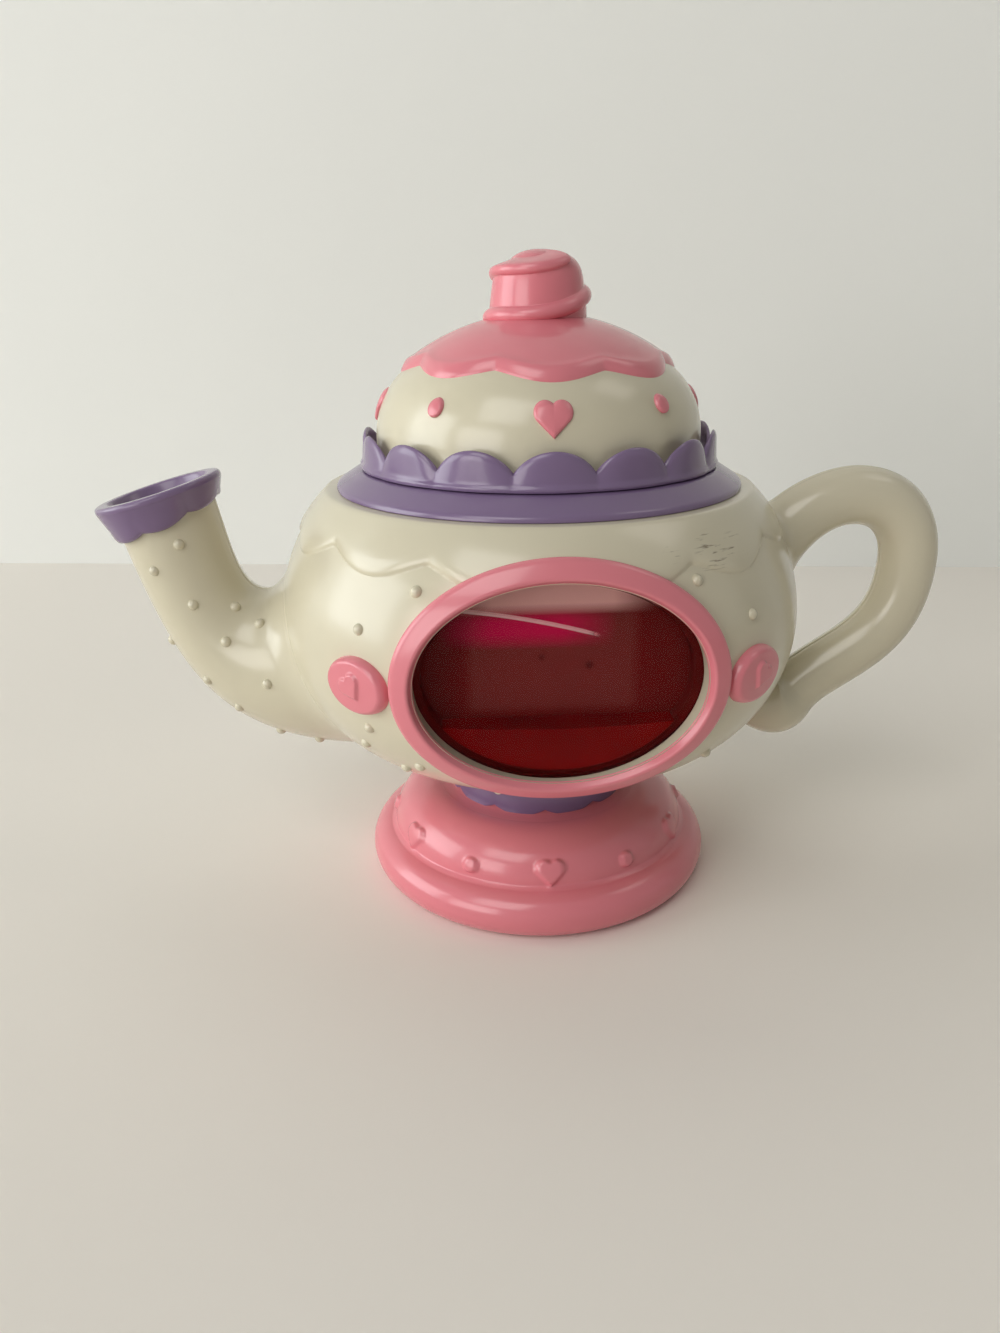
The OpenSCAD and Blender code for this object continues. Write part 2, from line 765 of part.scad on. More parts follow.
module neck_skirt() {
    drips = 11;
    drip_r = 2.6;
    top = pedestal_h - seat;
    color(purple) difference() {
        intersection() {
            translate([0, 0, top - skirt_h - 5]) cylinder(r = neck_r + skirt_t, h = skirt_h + 5);
            union() {
                translate([0, 0, top - skirt_h]) cylinder(r = neck_r + 8, h = skirt_h + 5);
                for (i = [0 : drips - 1]) rotate([0, 0, (i + 0.5) * 360 / drips])
                    translate([0, -neck_r + 3, top - skirt_h + 0.6]) rotate([90, 0, 0]) cylinder(r = drip_r, h = 9);
            }
        }
        translate([0, 0, top - skirt_h - 8]) cylinder(r = neck_r + seat, h = skirt_h + 12);
    }
}

module foot_plate() {
    color(pink) cylinder(r = foot_r - bead_r - 2.2, h = plate_t - seat);
}

// The lid's half outline over its upright wall, grown by off.
module dome_outline(off = 0) {
    translate([0, dome_z]) quarter_oval(dome_r, dome_h, dome_arc, off);
    translate([0, lid_z]) square([dome_r + off, dome_wall_h]);
}

module dome_solid(off = 0) {
    rotate_extrude() dome_outline(off);
}

plug_r = mouth_r - lid_gap;
flange_r = dome_r + 2;
flange_t = 2;

module lid_dome() {
    color(cream) difference() {
        rotate_extrude() difference() {
            union() {
                dome_outline();
                translate([0, lid_z - plug_h]) square([plug_r, plug_h]);
                translate([0, lid_z]) square([flange_r, flange_t]);
            }
            translate([0, dome_z]) quarter_oval(dome_r, dome_h, dome_arc, -lid_wall);
            translate([0, lid_z - plug_h]) square([plug_r - lid_wall, plug_h + dome_wall_h]);
        }
        translate([0, 0, dome_z]) cylinder(r = screw_r + 0.4, h = far);
    }
}

module lid_ruffle() {
    plan_r = PI * ruffle_r / ruffle_lobes;
    half_lobe = plan_r * 0.97;
    lobe_r = (pow(half_lobe, 2) + pow(ruffle_notch, 2)) / (2 * ruffle_notch);
    lobe_z = lid_z + ruffle_h - lobe_r;
    gap = 0.2;
    color(purple) difference() {
        intersection() {
            translate([0, 0, lid_z]) linear_extrude(ruffle_h + 1)
                scalloped(ruffle_r - 1.2, ruffle_r, ruffle_lobes, plan_r);
            union() {
                cylinder(r = far, h = lid_z + (ruffle_h - ruffle_notch) / 2);
                for (i = [0 : ruffle_lobes - 1]) rotate([0, 0, i * 360 / ruffle_lobes])
                    translate([0, -dome_r + 3, lobe_z]) rotate([90, 0, 0]) cylinder(r = lobe_r, h = 12);
            }
        }
        cylinder(r = dome_r + gap, h = far);
        translate([0, 0, lid_z - 1]) cylinder(r = flange_r + gap, h = flange_t + 1 + gap);
        translate([0, 0, lid_z + flange_t + 2]) cylinder(r1 = dome_r, r2 = dome_r + 2.6, h = ruffle_h - flange_t - 1.6);
    }
}

module lid_icing() {
    lobe = 8;
    color(pink) difference() {
        intersection() {
            dome_solid(lid_icing_t);
            translate([0, 0, dome_z]) linear_extrude(far)
                scalloped(lid_icing_r, lid_icing_drip_r, lid_icing_drips, lobe);
        }
        dome_solid(seat);
        cylinder(r = screw_r + 0.4, h = far);
    }
}

heart_z = dome_z + 8.2;

module lid_motifs(angles, z) {
    difference() {
        intersection() {
            dome_solid(relief_t);
            for (a = angles) radial(a, z, dome_r / 2, far) children();
        }
        dome_solid(seat);
    }
}

module lid_hearts() {
    color(pink) lid_motifs([0, 90, 180, 270], heart_z) heart(heart_w);
}

module lid_dots() {
    color(pink) lid_motifs([dot_angle, 180 - dot_angle, 180 + dot_angle, -dot_angle], heart_z + 2) circle(dot_r);
}

// The knob narrows upwards in two steps and closes over the top. A bead climbs round it from the left and ends in
// a tip at the right of the front, one and a third turns later.
swirl_turns = 1.36;
function ease(x) = let (t = min(1, max(0, x))) t * t * (3 - 2 * t);
function knob_outline(h) = (knob_r - swirl_depth + 0.6 - 2.8 * ease((h - 9) / 5))
    * sqrt(max(0, 1 - pow(max(0, h) / knob_h, 6)));
function swirl_height(a, lap) = swirl_pitch * ((a + 180) % 360 / 360 + lap) + 0.8;
function knob_bead(h, a, lap) = let (ridge = swirl_height(a, lap))
    swirl_depth * exp(-pow((h - ridge) / swirl_w, 2)) * ease((swirl_pitch * swirl_turns + 1.6 - ridge) / 1.6);
module lid_knob() {
    root = 2.6;
    base_z = crown_z - root;
    rings = 24;
    sides = 28;
    points = [for (i = [0 : rings], j = [0 : sides - 1]) let (
            u = i < rings - 6 ? 0.84 * i / (rings - 6) : 0.84 + 0.16 * sin(15 * (i - rings + 6)),
            a = 360 * j / sides,
            h = (knob_h + root) * u - root,
            r = max(knob_outline(h) + max(knob_bead(h, a, 0), knob_bead(h, a, 1)), 0.4))
        [r * cos(a), r * sin(a), base_z + root + h]];
    walls = [for (i = [0 : rings - 1], j = [0 : sides - 1]) let (
            k = (j + 1) % sides, a = i * sides + j, b = i * sides + k)
        each [[a, b + sides, b], [a, a + sides, b + sides]]];
    bottom = [for (j = [0 : sides - 1]) j];
    top = [for (j = [sides - 1 : -1 : 0]) rings * sides + j];
    color(pink) difference() {
        polyhedron(points, concat(walls, [bottom, top]));
        dome_solid(lid_icing_t + seat);
        translate([0, 0, dome_z]) cylinder(r = screw_r + seat, h = dome_h + 10);
    }
}

module knob_screw() {
    head_z = crown_z - lid_wall - 0.15;
    color(steel) translate([0, 0, head_z]) mirror([0, 0, 1]) screw(lid_wall + knob_grip);
}

front_shell();
rear_shell();
spout_front();
spout_rear();
spout_rim();
handle_front();
handle_rear();
window_frame();
window_lens();
tea_tank();
tea();
filler_plug();
tank_strap();
tank_screws();
left_medallion();
right_medallion();
shell_screws();
collar();
pedestal();
neck_skirt();
foot_plate();
pedestal_screws();
lid_dome();
lid_ruffle();
lid_icing();
lid_hearts();
lid_dots();
lid_knob();
knob_screw();
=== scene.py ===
"""Looks of the toy teapot: each moulded piece is a surface of two parameters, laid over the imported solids.

Sizes are millimetres, from the same driving dimensions as the solids; MM turns them into the frame's metres.
The window faces -Y, the spout points to -X, and azimuths are degrees from the front, growing towards +X.
"""

import math
import bmesh
import bpy
import numpy as np
from mathutils import Matrix, Vector


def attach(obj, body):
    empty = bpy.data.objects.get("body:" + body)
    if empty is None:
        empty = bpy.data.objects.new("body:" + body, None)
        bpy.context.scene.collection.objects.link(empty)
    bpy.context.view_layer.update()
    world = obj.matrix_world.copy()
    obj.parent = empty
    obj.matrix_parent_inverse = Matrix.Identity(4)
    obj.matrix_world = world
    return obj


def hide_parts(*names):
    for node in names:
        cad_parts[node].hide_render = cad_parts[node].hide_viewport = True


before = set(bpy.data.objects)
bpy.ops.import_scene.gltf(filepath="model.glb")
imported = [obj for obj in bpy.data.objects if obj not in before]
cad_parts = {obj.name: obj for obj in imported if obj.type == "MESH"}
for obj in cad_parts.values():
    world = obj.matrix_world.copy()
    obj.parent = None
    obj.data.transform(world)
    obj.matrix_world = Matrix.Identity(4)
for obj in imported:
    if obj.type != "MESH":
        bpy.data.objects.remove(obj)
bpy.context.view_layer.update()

# Driving dimensions, in millimetres
MM = 0.001
BOWL_R, BOWL_Z = 70.4, 79.0
SHOULDER, HAUNCH, BOWL_DEPTH = 46.0, 38.0, 47.5
FLOOR_Z, MOUTH_Z, WALL = 36.0, 113.5, 2.4
ICING_T, ICING_INSET, ICING_DRIP, ICING_DRIPS = 1.2, 8.0, 2.6, 13
WINDOW_A, WINDOW_B, WINDOW_Z = 33.5, 24.5, 78.3
FRAME_W, FRAME_T = 5.0, 2.2
SLEEVE_T, SLEEVE_Y = 1.8, BOWL_R - 13.9
LENS_Y, LENS_DOME, LENS_T, LENS_FLANGE_T, LENS_FLANGE_W = BOWL_R - 9.4, 140.0, 1.5, 1.6, 0.8
TEA_Z = 66.8
MEDALLION_A, MEDALLION_B, MEDALLION_T, MEDALLION_AZIMUTH, MEDALLION_Z = 9.3, 7.1, 2.4, 41.0, 76.7
SPOUT_MOUTH = np.array([-BOWL_R - 30.6, BOWL_Z + 33.0])
SPOUT_MOUTH_R, SPOUT_ROOT_R, SPOUT_HOLE_R = 13.3, 30.5, 16.0
RIM_H, RIM_R, RIM_TAPER, RIM_LIP, RIM_DRIPS = 8.2, 17.0, 1.8, 1.8, 7
HANDLE_R, HANDLE_END_R = 7.9, 10.4
COLLAR_INSET, COLLAR_SLOPE, COLLAR_LEDGE, COLLAR_Z = 1.2, 6.2, 5.4, 118.6
SPIGOT_R, SPIGOT_H = 50.8, 3.5
LID_Z, DOME_Z = 118.85, 126.05
DOME_LAP, DOME_H, DOME_ARC, LID_WALL, PLUG_H = 0.5, 29.0, 22.0, 2.2, 6.6
RUFFLE_LOBES, RUFFLE_W, RUFFLE_H, RUFFLE_NOTCH = 15, 4.7, 9.0, 5.0
LID_ICING_T, LID_ICING_INSET, LID_ICING_DRIP, LID_ICING_DRIPS = 1.3, 9.5, 2.6, 8
KNOB_R, KNOB_H, SWIRL_H, SWIRL_W, SWIRL_PITCH = 13.6, 16.0, 1.7, 1.5, 11.2
HEART_W, DOT_R, RELIEF = 9.0, 2.2, 1.0
FOOT_R, BEAD_R, PEDESTAL_H, BELL_ARC, NECK_R = 50.0, 6.5, 36.0, 12.5, 24.0
SKIRT_T, SKIRT_H, SKIRT_DRIP, SKIRT_DRIPS, PLATE_T = 1.8, 9.6, 2.0, 11, 2.4
PEARL_R, PEARL_SINK = 1.5, 0.4
WELL_R, WELL_BORE, POST_R = 4.4, 3.3, 3.6
SEAT_GAP, PLUG_GAP, LENS_GAP = 0.05, 0.25, 0.25
ICING_EDGE, MOTIF_RISE = 2.2, 0.34

# Worked out from them
SHOULDER_X, HAUNCH_X = BOWL_R - SHOULDER, BOWL_R - HAUNCH
ICING_R = BOWL_R - ICING_INSET
COLLAR_R = SHOULDER_X + math.sqrt(SHOULDER ** 2 - (MOUTH_Z - BOWL_Z) ** 2) - COLLAR_INSET
COLLAR_TOP_R = COLLAR_R - COLLAR_SLOPE
LID_HOLE_R = COLLAR_TOP_R - COLLAR_LEDGE
DOME_R = LID_HOLE_R + DOME_LAP
RUFFLE_R, LID_ICING_R = DOME_R + RUFFLE_W, DOME_R - LID_ICING_INSET
CROWN = (HAUNCH_X ** 2 + BOWL_DEPTH ** 2 - HAUNCH ** 2) / (2 * (BOWL_DEPTH - HAUNCH))
CROWN_Z = BOWL_Z - BOWL_DEPTH + CROWN
DOME_X = DOME_R - DOME_ARC
DOME_CROWN = (DOME_X ** 2 + DOME_H ** 2 - DOME_ARC ** 2) / (2 * (DOME_H - DOME_ARC))
DOME_CROWN_Z = DOME_Z + DOME_H - DOME_CROWN
BEAD_Z = BEAD_R - 0.3
BELL_Z = BEAD_Z + BEAD_R
BELL_X = FOOT_R - BEAD_R - 0.5 - BELL_ARC
SCREW_WELLS = [(side * x, z) for side in (-1, 1) for x, z in ((52.0, 98.0), (34.0, 47.0))]
HANDLE_ROOT, HANDLE_ROOT_TILT = np.array([BOWL_R - 18.8, 0, BOWL_Z + 5.2]), math.radians(50)

# Pearls on the bowl as (azimuth, height above the widest ring), on the spout as (share of its length, degrees round it)
BOWL_PEARLS = [(-41, 11), (-29, 21), (-41, -14), (-46, -21), (-38, -27), (-32, -24), (-15, -31), (28, 22), (41, 12),
               (38, -25), (120, 12), (146, 18), (168, 6), (194, 16), (220, 4), (242, 14), (132, -14), (158, -18),
               (186, -12), (210, -22), (234, -16)]
SPOUT_PEARLS = [(0.86, 108), (0.83, 68), (0.67, 96), (0.50, 137), (0.64, 24), (0.46, 104), (0.31, 134), (0.47, 49),
                (0.24, 88), (0.34, 46), (0.22, 29), (0.13, 30), (0.84, 280), (0.70, 250), (0.58, 300), (0.44, 235),
                (0.38, 285), (0.26, 255)]


# Surfaces and meshes

def grid_faces(rows, columns, loop_rows, loop_columns):
    """Four corners for each cell of a grid whose rows, columns or both close on themselves."""
    i = np.arange(rows if loop_rows else rows - 1)[:, None]
    j = np.arange(columns if loop_columns else columns - 1)
    below, beside = (i + 1) % rows, (j + 1) % columns
    corners = [i * columns + j, i * columns + beside, below * columns + beside, below * columns + j]
    return np.stack(np.broadcast_arrays(*corners), -1).reshape(-1, 4)


class Patch:
    """A grid of points, rows by columns, and which ways it closes; caps fill the first and last column's outlines."""

    def __init__(self, points, loop_rows=False, loop_columns=True, caps=False):
        self.points = np.asarray(points, float)
        rows, columns = self.points.shape[:2]
        self.faces = grid_faces(rows, columns, loop_rows, loop_columns).tolist()
        if caps:
            edge = np.arange(rows) * columns
            self.faces += [edge.tolist(), (edge + columns - 1)[::-1].tolist()]


def make_piece(name, patches, sharp=50):
    """One mesh object from patches in millimetres: doubled points merge, each patch's faces turn outwards by the
    sign of its volume, and shading is smooth except over edges sharper than the given degrees."""
    whole = bmesh.new()
    for patch in patches:
        mesh = bpy.data.meshes.new("patch")
        mesh.from_pydata((patch.points.reshape(-1, 3) * MM).tolist(), [], patch.faces)
        part = bmesh.new()
        part.from_mesh(mesh)
        bmesh.ops.remove_doubles(part, verts=part.verts, dist=1e-7)
        if part.calc_volume(signed=True) < 0:
            bmesh.ops.reverse_faces(part, faces=part.faces)
        part.to_mesh(mesh)
        part.free()
        whole.from_mesh(mesh)
        bpy.data.meshes.remove(mesh)
    mesh = bpy.data.meshes.new(name)
    whole.to_mesh(mesh)
    whole.free()
    mesh.shade_smooth()
    mesh.set_sharp_from_angle(angle=math.radians(sharp))
    piece = bpy.data.objects.new(name, mesh)
    bpy.context.scene.collection.objects.link(piece)
    return piece


def dress(piece, material, slot, body, *nodes):
    """Gives a finished piece its material, the body it rides on and the nodes it stands for."""
    piece.data.materials.clear()
    piece.data.materials.append(material)
    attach(piece, body)
    if nodes:
        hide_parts(*nodes)
    return piece


def cut(piece, patch):
    """Takes a closed patch out of a piece."""
    cutter = make_piece("cutter", [patch])
    step = piece.modifiers.new("cut", "BOOLEAN")
    step.operation, step.solver, step.object = "DIFFERENCE", "EXACT", cutter
    bpy.context.view_layer.objects.active = piece
    bpy.ops.object.modifier_apply(modifier=step.name)
    bpy.data.objects.remove(cutter)


def turned(radius, height, azimuth):
    """Points at a radius from the upright axis, a height and an azimuth in degrees."""
    a = np.radians(azimuth)
    return np.stack(np.broadcast_arrays(radius * np.sin(a), -radius * np.cos(a), height + 0 * a), -1)


def around(count, first=0.0):
    """Evenly spaced degrees for a full turn."""
    return first + 360.0 * np.arange(count) / count


def soften(corners, radii, steps=6):
    """A closed outline through corners, each rounded by a quadratic curve that starts its radius before the corner."""
    here = np.asarray(corners, float)
    radii = np.broadcast_to(np.asarray(radii, float), len(here))
    before, after = np.roll(here, 1, 0) - here, np.roll(here, -1, 0) - here
    start = here + before * (radii / np.linalg.norm(before, axis=1))[:, None]
    end = here + after * (radii / np.linalg.norm(after, axis=1))[:, None]
    t = np.linspace(0, 1, steps)[None, :, None]
    curve = (1 - t) ** 2 * start[:, None] + 2 * t * (1 - t) * here[:, None] + t ** 2 * end[:, None]
    return curve.reshape(-1, 2)


def smooth(x):
    """Rises from 0 to 1 between 0 and 1, level at both ends."""
    x = np.clip(x, 0, 1)
    return x * x * (3 - 2 * x)


def rounded_edge(x):
    """Rises from 0 to 1 between 0 and 1 as a quarter of a circle, steep at first."""
    return np.sqrt(np.clip(1 - (1 - np.clip(x, 0, 1)) ** 2, 0, 1))


def rings(first, flat, count, rise, edge_count):
    """Shares from a piece's middle to its edge, as a column: even steps to the end of the flat part, then steps that
    close up towards the edge as a sine does from a rise in degrees to 90."""
    edge = flat + (1 - flat) * np.sin(np.radians(np.linspace(rise, 90, edge_count)))
    return np.concatenate([np.linspace(first, flat, count), edge])[:, None]


def drips(azimuth, count, first=0.0, roundness=0.7):
    """A run of round drips with pointed gaps between them: 1 at each drip's middle and 0 between."""
    return np.abs(np.cos(np.radians(count * (azimuth - first) / 2))) ** roundness


# The bowl

def bowl_curve(share, lift=0.0):
    """Radius, height and normal of the bowl's outline at a share of its length from the floor to the mouth.
    Three arcs meet smoothly, the crown, the haunch and the shoulder, and lift is added to each arc's radius."""
    joint = math.atan2(BOWL_Z - CROWN_Z, HAUNCH_X)
    arcs = np.array([
        [0, CROWN_Z, CROWN, math.asin((FLOOR_Z - CROWN_Z) / CROWN), joint],
        [HAUNCH_X, BOWL_Z, HAUNCH, joint, 0],
        [SHOULDER_X, BOWL_Z, SHOULDER, 0, math.asin((MOUTH_Z - BOWL_Z) / (SHOULDER + lift))]])
    ends = np.cumsum(arcs[:, 2] * (arcs[:, 4] - arcs[:, 3]))
    ends /= ends[-1]
    which = np.minimum(np.searchsorted(ends, share), 2)
    begin = np.concatenate([[0], ends[:-1]])[which]
    x, z, radius, first, last = arcs[which].T
    angle = first + (last - first) * (share - begin) / (ends[which] - begin)
    return x + (radius + lift) * np.cos(angle), z + (radius + lift) * np.sin(angle), np.cos(angle), np.sin(angle)


def bowl_gap(points):
    """How far points stand off the bowl, and the bowl's normal there, from the nearest of the three arcs."""
    r = np.hypot(points[..., 0], points[..., 1])
    h = points[..., 2] - BOWL_Z
    on_haunch = r * (CROWN_Z - BOWL_Z) > HAUNCH_X * (CROWN_Z - BOWL_Z - h)
    x = np.where(h >= 0, SHOULDER_X, np.where(on_haunch, HAUNCH_X, 0))
    z = np.where((h >= 0) | on_haunch, BOWL_Z, CROWN_Z)
    radius = np.where(h >= 0, SHOULDER, np.where(on_haunch, HAUNCH, CROWN))
    out, up = r - x, points[..., 2] - z
    away = np.hypot(out, up)
    normal = np.stack([out / away * points[..., 0] / r, out / away * points[..., 1] / r, up / away], -1)
    return away - radius, normal


def bowl_radius(z, lift=0.0):
    """Radius of the bowl, grown by lift, at a height."""
    h = z - BOWL_Z
    upper = SHOULDER_X + np.sqrt(np.maximum((SHOULDER + lift) ** 2 - h ** 2, 0))
    lower = HAUNCH_X + np.sqrt(np.maximum((HAUNCH + lift) ** 2 - h ** 2, 0))
    under = np.sqrt(np.maximum((CROWN + lift) ** 2 - (z - CROWN_Z) ** 2, 0))
    joint = BOWL_Z + (HAUNCH + lift) * (BOWL_Z - CROWN_Z) / (CROWN - HAUNCH)
    return np.where(h >= 0, upper, np.where(z > joint, lower, under))


def icing_on_bowl(radius, height, azimuth):
    """Thickness of the icing: full inside a wavy plan radius, with a rounded edge, and none near the line that
    the handle's upper root follows."""
    edge = ICING_R + ICING_DRIP * drips(azimuth, ICING_DRIPS, 180 / ICING_DRIPS, 1.1)
    wave = 0.5 * np.sin(np.radians(3 * azimuth + 40))
    inside = np.where(height > BOWL_Z, rounded_edge((edge + wave - radius) / ICING_EDGE), 0)
    along = np.array([math.sin(HANDLE_ROOT_TILT), 0, math.cos(HANDLE_ROOT_TILT)])
    away = turned(radius, height, azimuth) - HANDLE_ROOT
    away = away - (away @ along)[..., None] * along
    return ICING_T * inside * rounded_edge((np.linalg.norm(away, axis=-1) - HANDLE_R - 3.2) / ICING_EDGE)


def bowl_half(name, middle):
    """One half of the bowl round an azimuth: outside, mouth, inside and floor in one closed outline, turned through
    half a turn. The icing lifts the outside along its normal, and the parting seam's edge is drawn in."""
    near_seam = np.array([0.05, 0.15, 0.3, 0.5])
    turn = np.concatenate([near_seam, np.linspace(0.9, 179.1, 250), 180 - near_seam[::-1]]) - 90
    azimuth = middle + turn
    share = np.concatenate([np.linspace(0, 0.78, 70), np.linspace(0.785, 0.925, 64), np.linspace(0.93, 1, 10)])
    r, z, out, up = (v[:, None] for v in bowl_curve(share))
    lift = icing_on_bowl(r, z, azimuth[None]) - 0.12 * np.exp(-((90 - np.abs(turn)) / 0.2) ** 2)
    outside = turned(r + out * lift, np.minimum(z + up * lift, MOUTH_Z), azimuth)
    r, z, _, _ = (v[:, None] for v in bowl_curve(np.linspace(1, 0, 40), -WALL))
    inside = turned(r, z, azimuth)
    centre = [turned(0.0, height, azimuth)[None] for height in (z[-1, 0], FLOOR_Z)]
    rows = np.concatenate([outside, inside] + centre)
    return make_piece(name, [Patch(rows, loop_rows=True, loop_columns=False, caps=True)], 35)


def prism_y(x, z, y_from, y_to):
    """A closed prism along Y over an outline of x and z."""
    rows = [np.stack([x * f + x.mean() * (1 - f), np.full_like(x, y), z * f + z.mean() * (1 - f)], -1)
            for f, y in ((0, y_from), (1, y_from), (1, y_to), (0, y_to))]
    return Patch(np.stack(rows))


def window_oval(grow, turn):
    """The window's oval, its half axes grown, at degrees round it."""
    a = np.radians(turn)
    return (WINDOW_A + grow) * np.cos(a), WINDOW_Z + (WINDOW_B + grow) * np.sin(a)


def window_sleeve():
    """The cream wall behind the window: an oval tube from the lens's seat out to just under the bowl's surface."""
    turn = around(180)
    rows = []
    for grow, front in ((0, 1), (SLEEVE_T, 1), (SLEEVE_T, 0), (0, 0)):
        x, z = window_oval(grow, turn)
        y = np.sqrt(bowl_radius(z, 0.2) ** 2 - x ** 2) if front else np.full_like(x, SLEEVE_Y)
        rows.append(np.stack([x, -y, z], -1))
    return Patch(np.stack(rows), loop_rows=True)


def screw_well(x, z, side, radius, bore):
    """A post along Y from the parting plane to the inside of the wall, with a bore where it has one."""
    a = np.radians(around(32))
    rows = []
    for r, at_wall in ((bore, 0), (radius, 0), (radius, 1), (bore, 1)):
        px, pz = x + r * np.cos(a), z + r * np.sin(a)
        wall = np.sqrt(np.maximum(bowl_radius(pz, -0.8) ** 2 - px ** 2, 0))
        y = np.where(at_wall, wall, 0.1)
        rows.append(np.stack([px, side * y, pz], -1))
    return Patch(np.stack(rows), loop_rows=bore > 0)


def pearl(at, normal):
    """A pearl: a cap of a ball whose centre is sunk under the surface, with rows of rings from its rim to its tip."""
    normal = np.asarray(normal, float) / np.linalg.norm(normal)
    across = np.cross(normal, [0.3, 0.5, 0.8])
    across /= np.linalg.norm(across)
    other = np.cross(normal, across)
    rise = np.radians(np.linspace(-20, 90, 7))[:, None, None]
    a = np.radians(around(14))[None, :, None]
    ball = np.cos(rise) * (np.cos(a) * across + np.sin(a) * other) + np.sin(rise) * normal
    rows = at - PEARL_SINK * normal + PEARL_R * ball
    return Patch(np.concatenate([np.broadcast_to(rows[0].mean(0), rows[:1].shape), rows]))


def pearls_on_bowl():
    """Pearls at their azimuths and heights on the bowl's surface."""
    places = np.array(BOWL_PEARLS, float)
    points = turned(bowl_radius(BOWL_Z + places[:, 1]), BOWL_Z + places[:, 1], places[:, 0])
    _, normals = bowl_gap(points)
    return [pearl(p, n) for p, n in zip(points, normals)]


# The spout and the handle

def cubic(poles, t):
    """Point of a cubic curve with four poles, and its direction."""
    p = [np.asarray(q, float) for q in poles]
    t = t[..., None]
    point = (1 - t) ** 3 * p[0] + 3 * (1 - t) ** 2 * t * p[1] + 3 * (1 - t) * t ** 2 * p[2] + t ** 3 * p[3]
    slope = (1 - t) ** 2 * (p[1] - p[0]) + 2 * (1 - t) * t * (p[2] - p[1]) + t ** 2 * (p[3] - p[2])
    return point, slope / np.linalg.norm(slope, axis=-1, keepdims=True)


SPOUT_POLES = [(-BOWL_R + 20.4, BOWL_Z - 9.5), (-BOWL_R - 20.7, BOWL_Z - 23.8),
               SPOUT_MOUTH + (8.5, -31.1), SPOUT_MOUTH]
HANDLE_FAR = np.array([BOWL_R + 34.9, BOWL_Z + 10])
HANDLE_LOW = np.array([BOWL_R + 5.7, BOWL_Z - 28.2])
HANDLE_POLES = [
    [(BOWL_R - 13, BOWL_Z - 4), (BOWL_R - 4.2, BOWL_Z + 36), (HANDLE_FAR[0], BOWL_Z + 37.5), HANDLE_FAR],
    [HANDLE_FAR, (HANDLE_FAR[0], BOWL_Z - 14.8), (BOWL_R + 17.6, BOWL_Z - 17.1), HANDLE_LOW],
    [HANDLE_LOW, HANDLE_LOW + (-4.4, -4.1), (BOWL_R - 2.2, BOWL_Z - 34.4), (BOWL_R - 15.4, BOWL_Z - 26)]]


def spout_line(t):
    """Centre, heading and radius along the spout: a cubic, headings that turn evenly from its first to its last
    direction, and a radius that falls with the cube of the length left."""
    centre, _ = cubic(SPOUT_POLES, t)
    _, ends = cubic(SPOUT_POLES, np.array([0.0, 1.0]))
    first, last = np.arctan2(ends[:, 1], ends[:, 0]) % (2 * math.pi)
    angle = first + (last - first) * np.clip(t, 0, 1) ** 0.92
    radius = SPOUT_MOUTH_R + (SPOUT_ROOT_R - SPOUT_MOUTH_R) * (1 - t) ** 3
    return centre, np.stack([np.cos(angle), np.sin(angle)], -1), radius


def handle_line(t):
    """Centre, heading and radius along the handle: three cubics end to end, thicker at the upper root and swollen
    in the curl at the lower end."""
    centres, headings = zip(*(cubic(poles, np.clip(t - k, 0, 1)) for k, poles in enumerate(HANDLE_POLES)))
    which = [(t < 1)[..., None], (t < 2)[..., None]]
    curl = np.clip(t - 2, 0, 1)
    swell = np.sin(math.pi * np.clip((t - 1.86) / 1.1, 0, 1)) ** 2
    radius = HANDLE_R + 3 * np.maximum(0, 1 - t / 0.5) ** 2 + (HANDLE_END_R - HANDLE_R) * swell
    centre, heading = (np.select(which, v[:2], v[2]) for v in (centres, headings))
    return centre, heading, radius * np.sqrt(1 - 0.85 * curl ** 5)


def tube_point(line, t, turn, inset=0.0):
    """Point on a tube's wall at a place along its line and degrees round it, and its direction from the centre."""
    centre, heading, radius = line(t)
    a = np.radians(turn)
    side = np.stack([-np.cos(a) * heading[..., 1], -np.sin(a) + 0 * t, np.cos(a) * heading[..., 0]], -1)
    middle = np.stack([centre[..., 0], 0 * t, centre[..., 1]], -1)
    return middle + (radius - inset)[..., None] * side, side


def leave_bowl(line, turn, inside, outside, inset=0.0):
    """Where each line along a tube's wall comes out of the bowl, by halving between a place inside and one outside."""
    low, high = np.full_like(turn, inside), np.full_like(turn, outside)
    for _ in range(30):
        middle = (low + high) / 2
        out = bowl_gap(tube_point(line, middle, turn, inset)[0])[0] > 0
        low, high = np.where(out, low, middle), np.where(out, middle, high)
    return high


def seam_groove(turn, radius):
    """A shallow groove on the parting plane, at 0 and 180 degrees round a tube, in the middle of a low flat strip."""
    away = np.abs(np.radians((turn + 90) % 180 - 90) * radius)
    return 0.16 * smooth((1.9 - away) / 0.5) - 0.36 * np.exp(-(away / 0.3) ** 2)


def flare(points, side, fillet):
    """Spreads a tube's wall over the bowl: near it the wall moves outwards as a round fillet does, then goes back
    to its own distance from the bowl along the bowl's normal."""
    gap, normal = bowl_gap(points)
    close = np.clip(1 - gap / fillet, 0, 1)
    spread = fillet * (1 - np.sqrt(1 - close ** 2))
    square = np.clip(np.linalg.norm(np.cross(side, normal), axis=-1), 0.25, 1)
    moved = points + (spread * square)[..., None] * side
    for _ in range(4):
        now, normal = bowl_gap(moved)
        moved = moved - np.where(close > 0, now - gap, 0)[..., None] * normal
    return moved


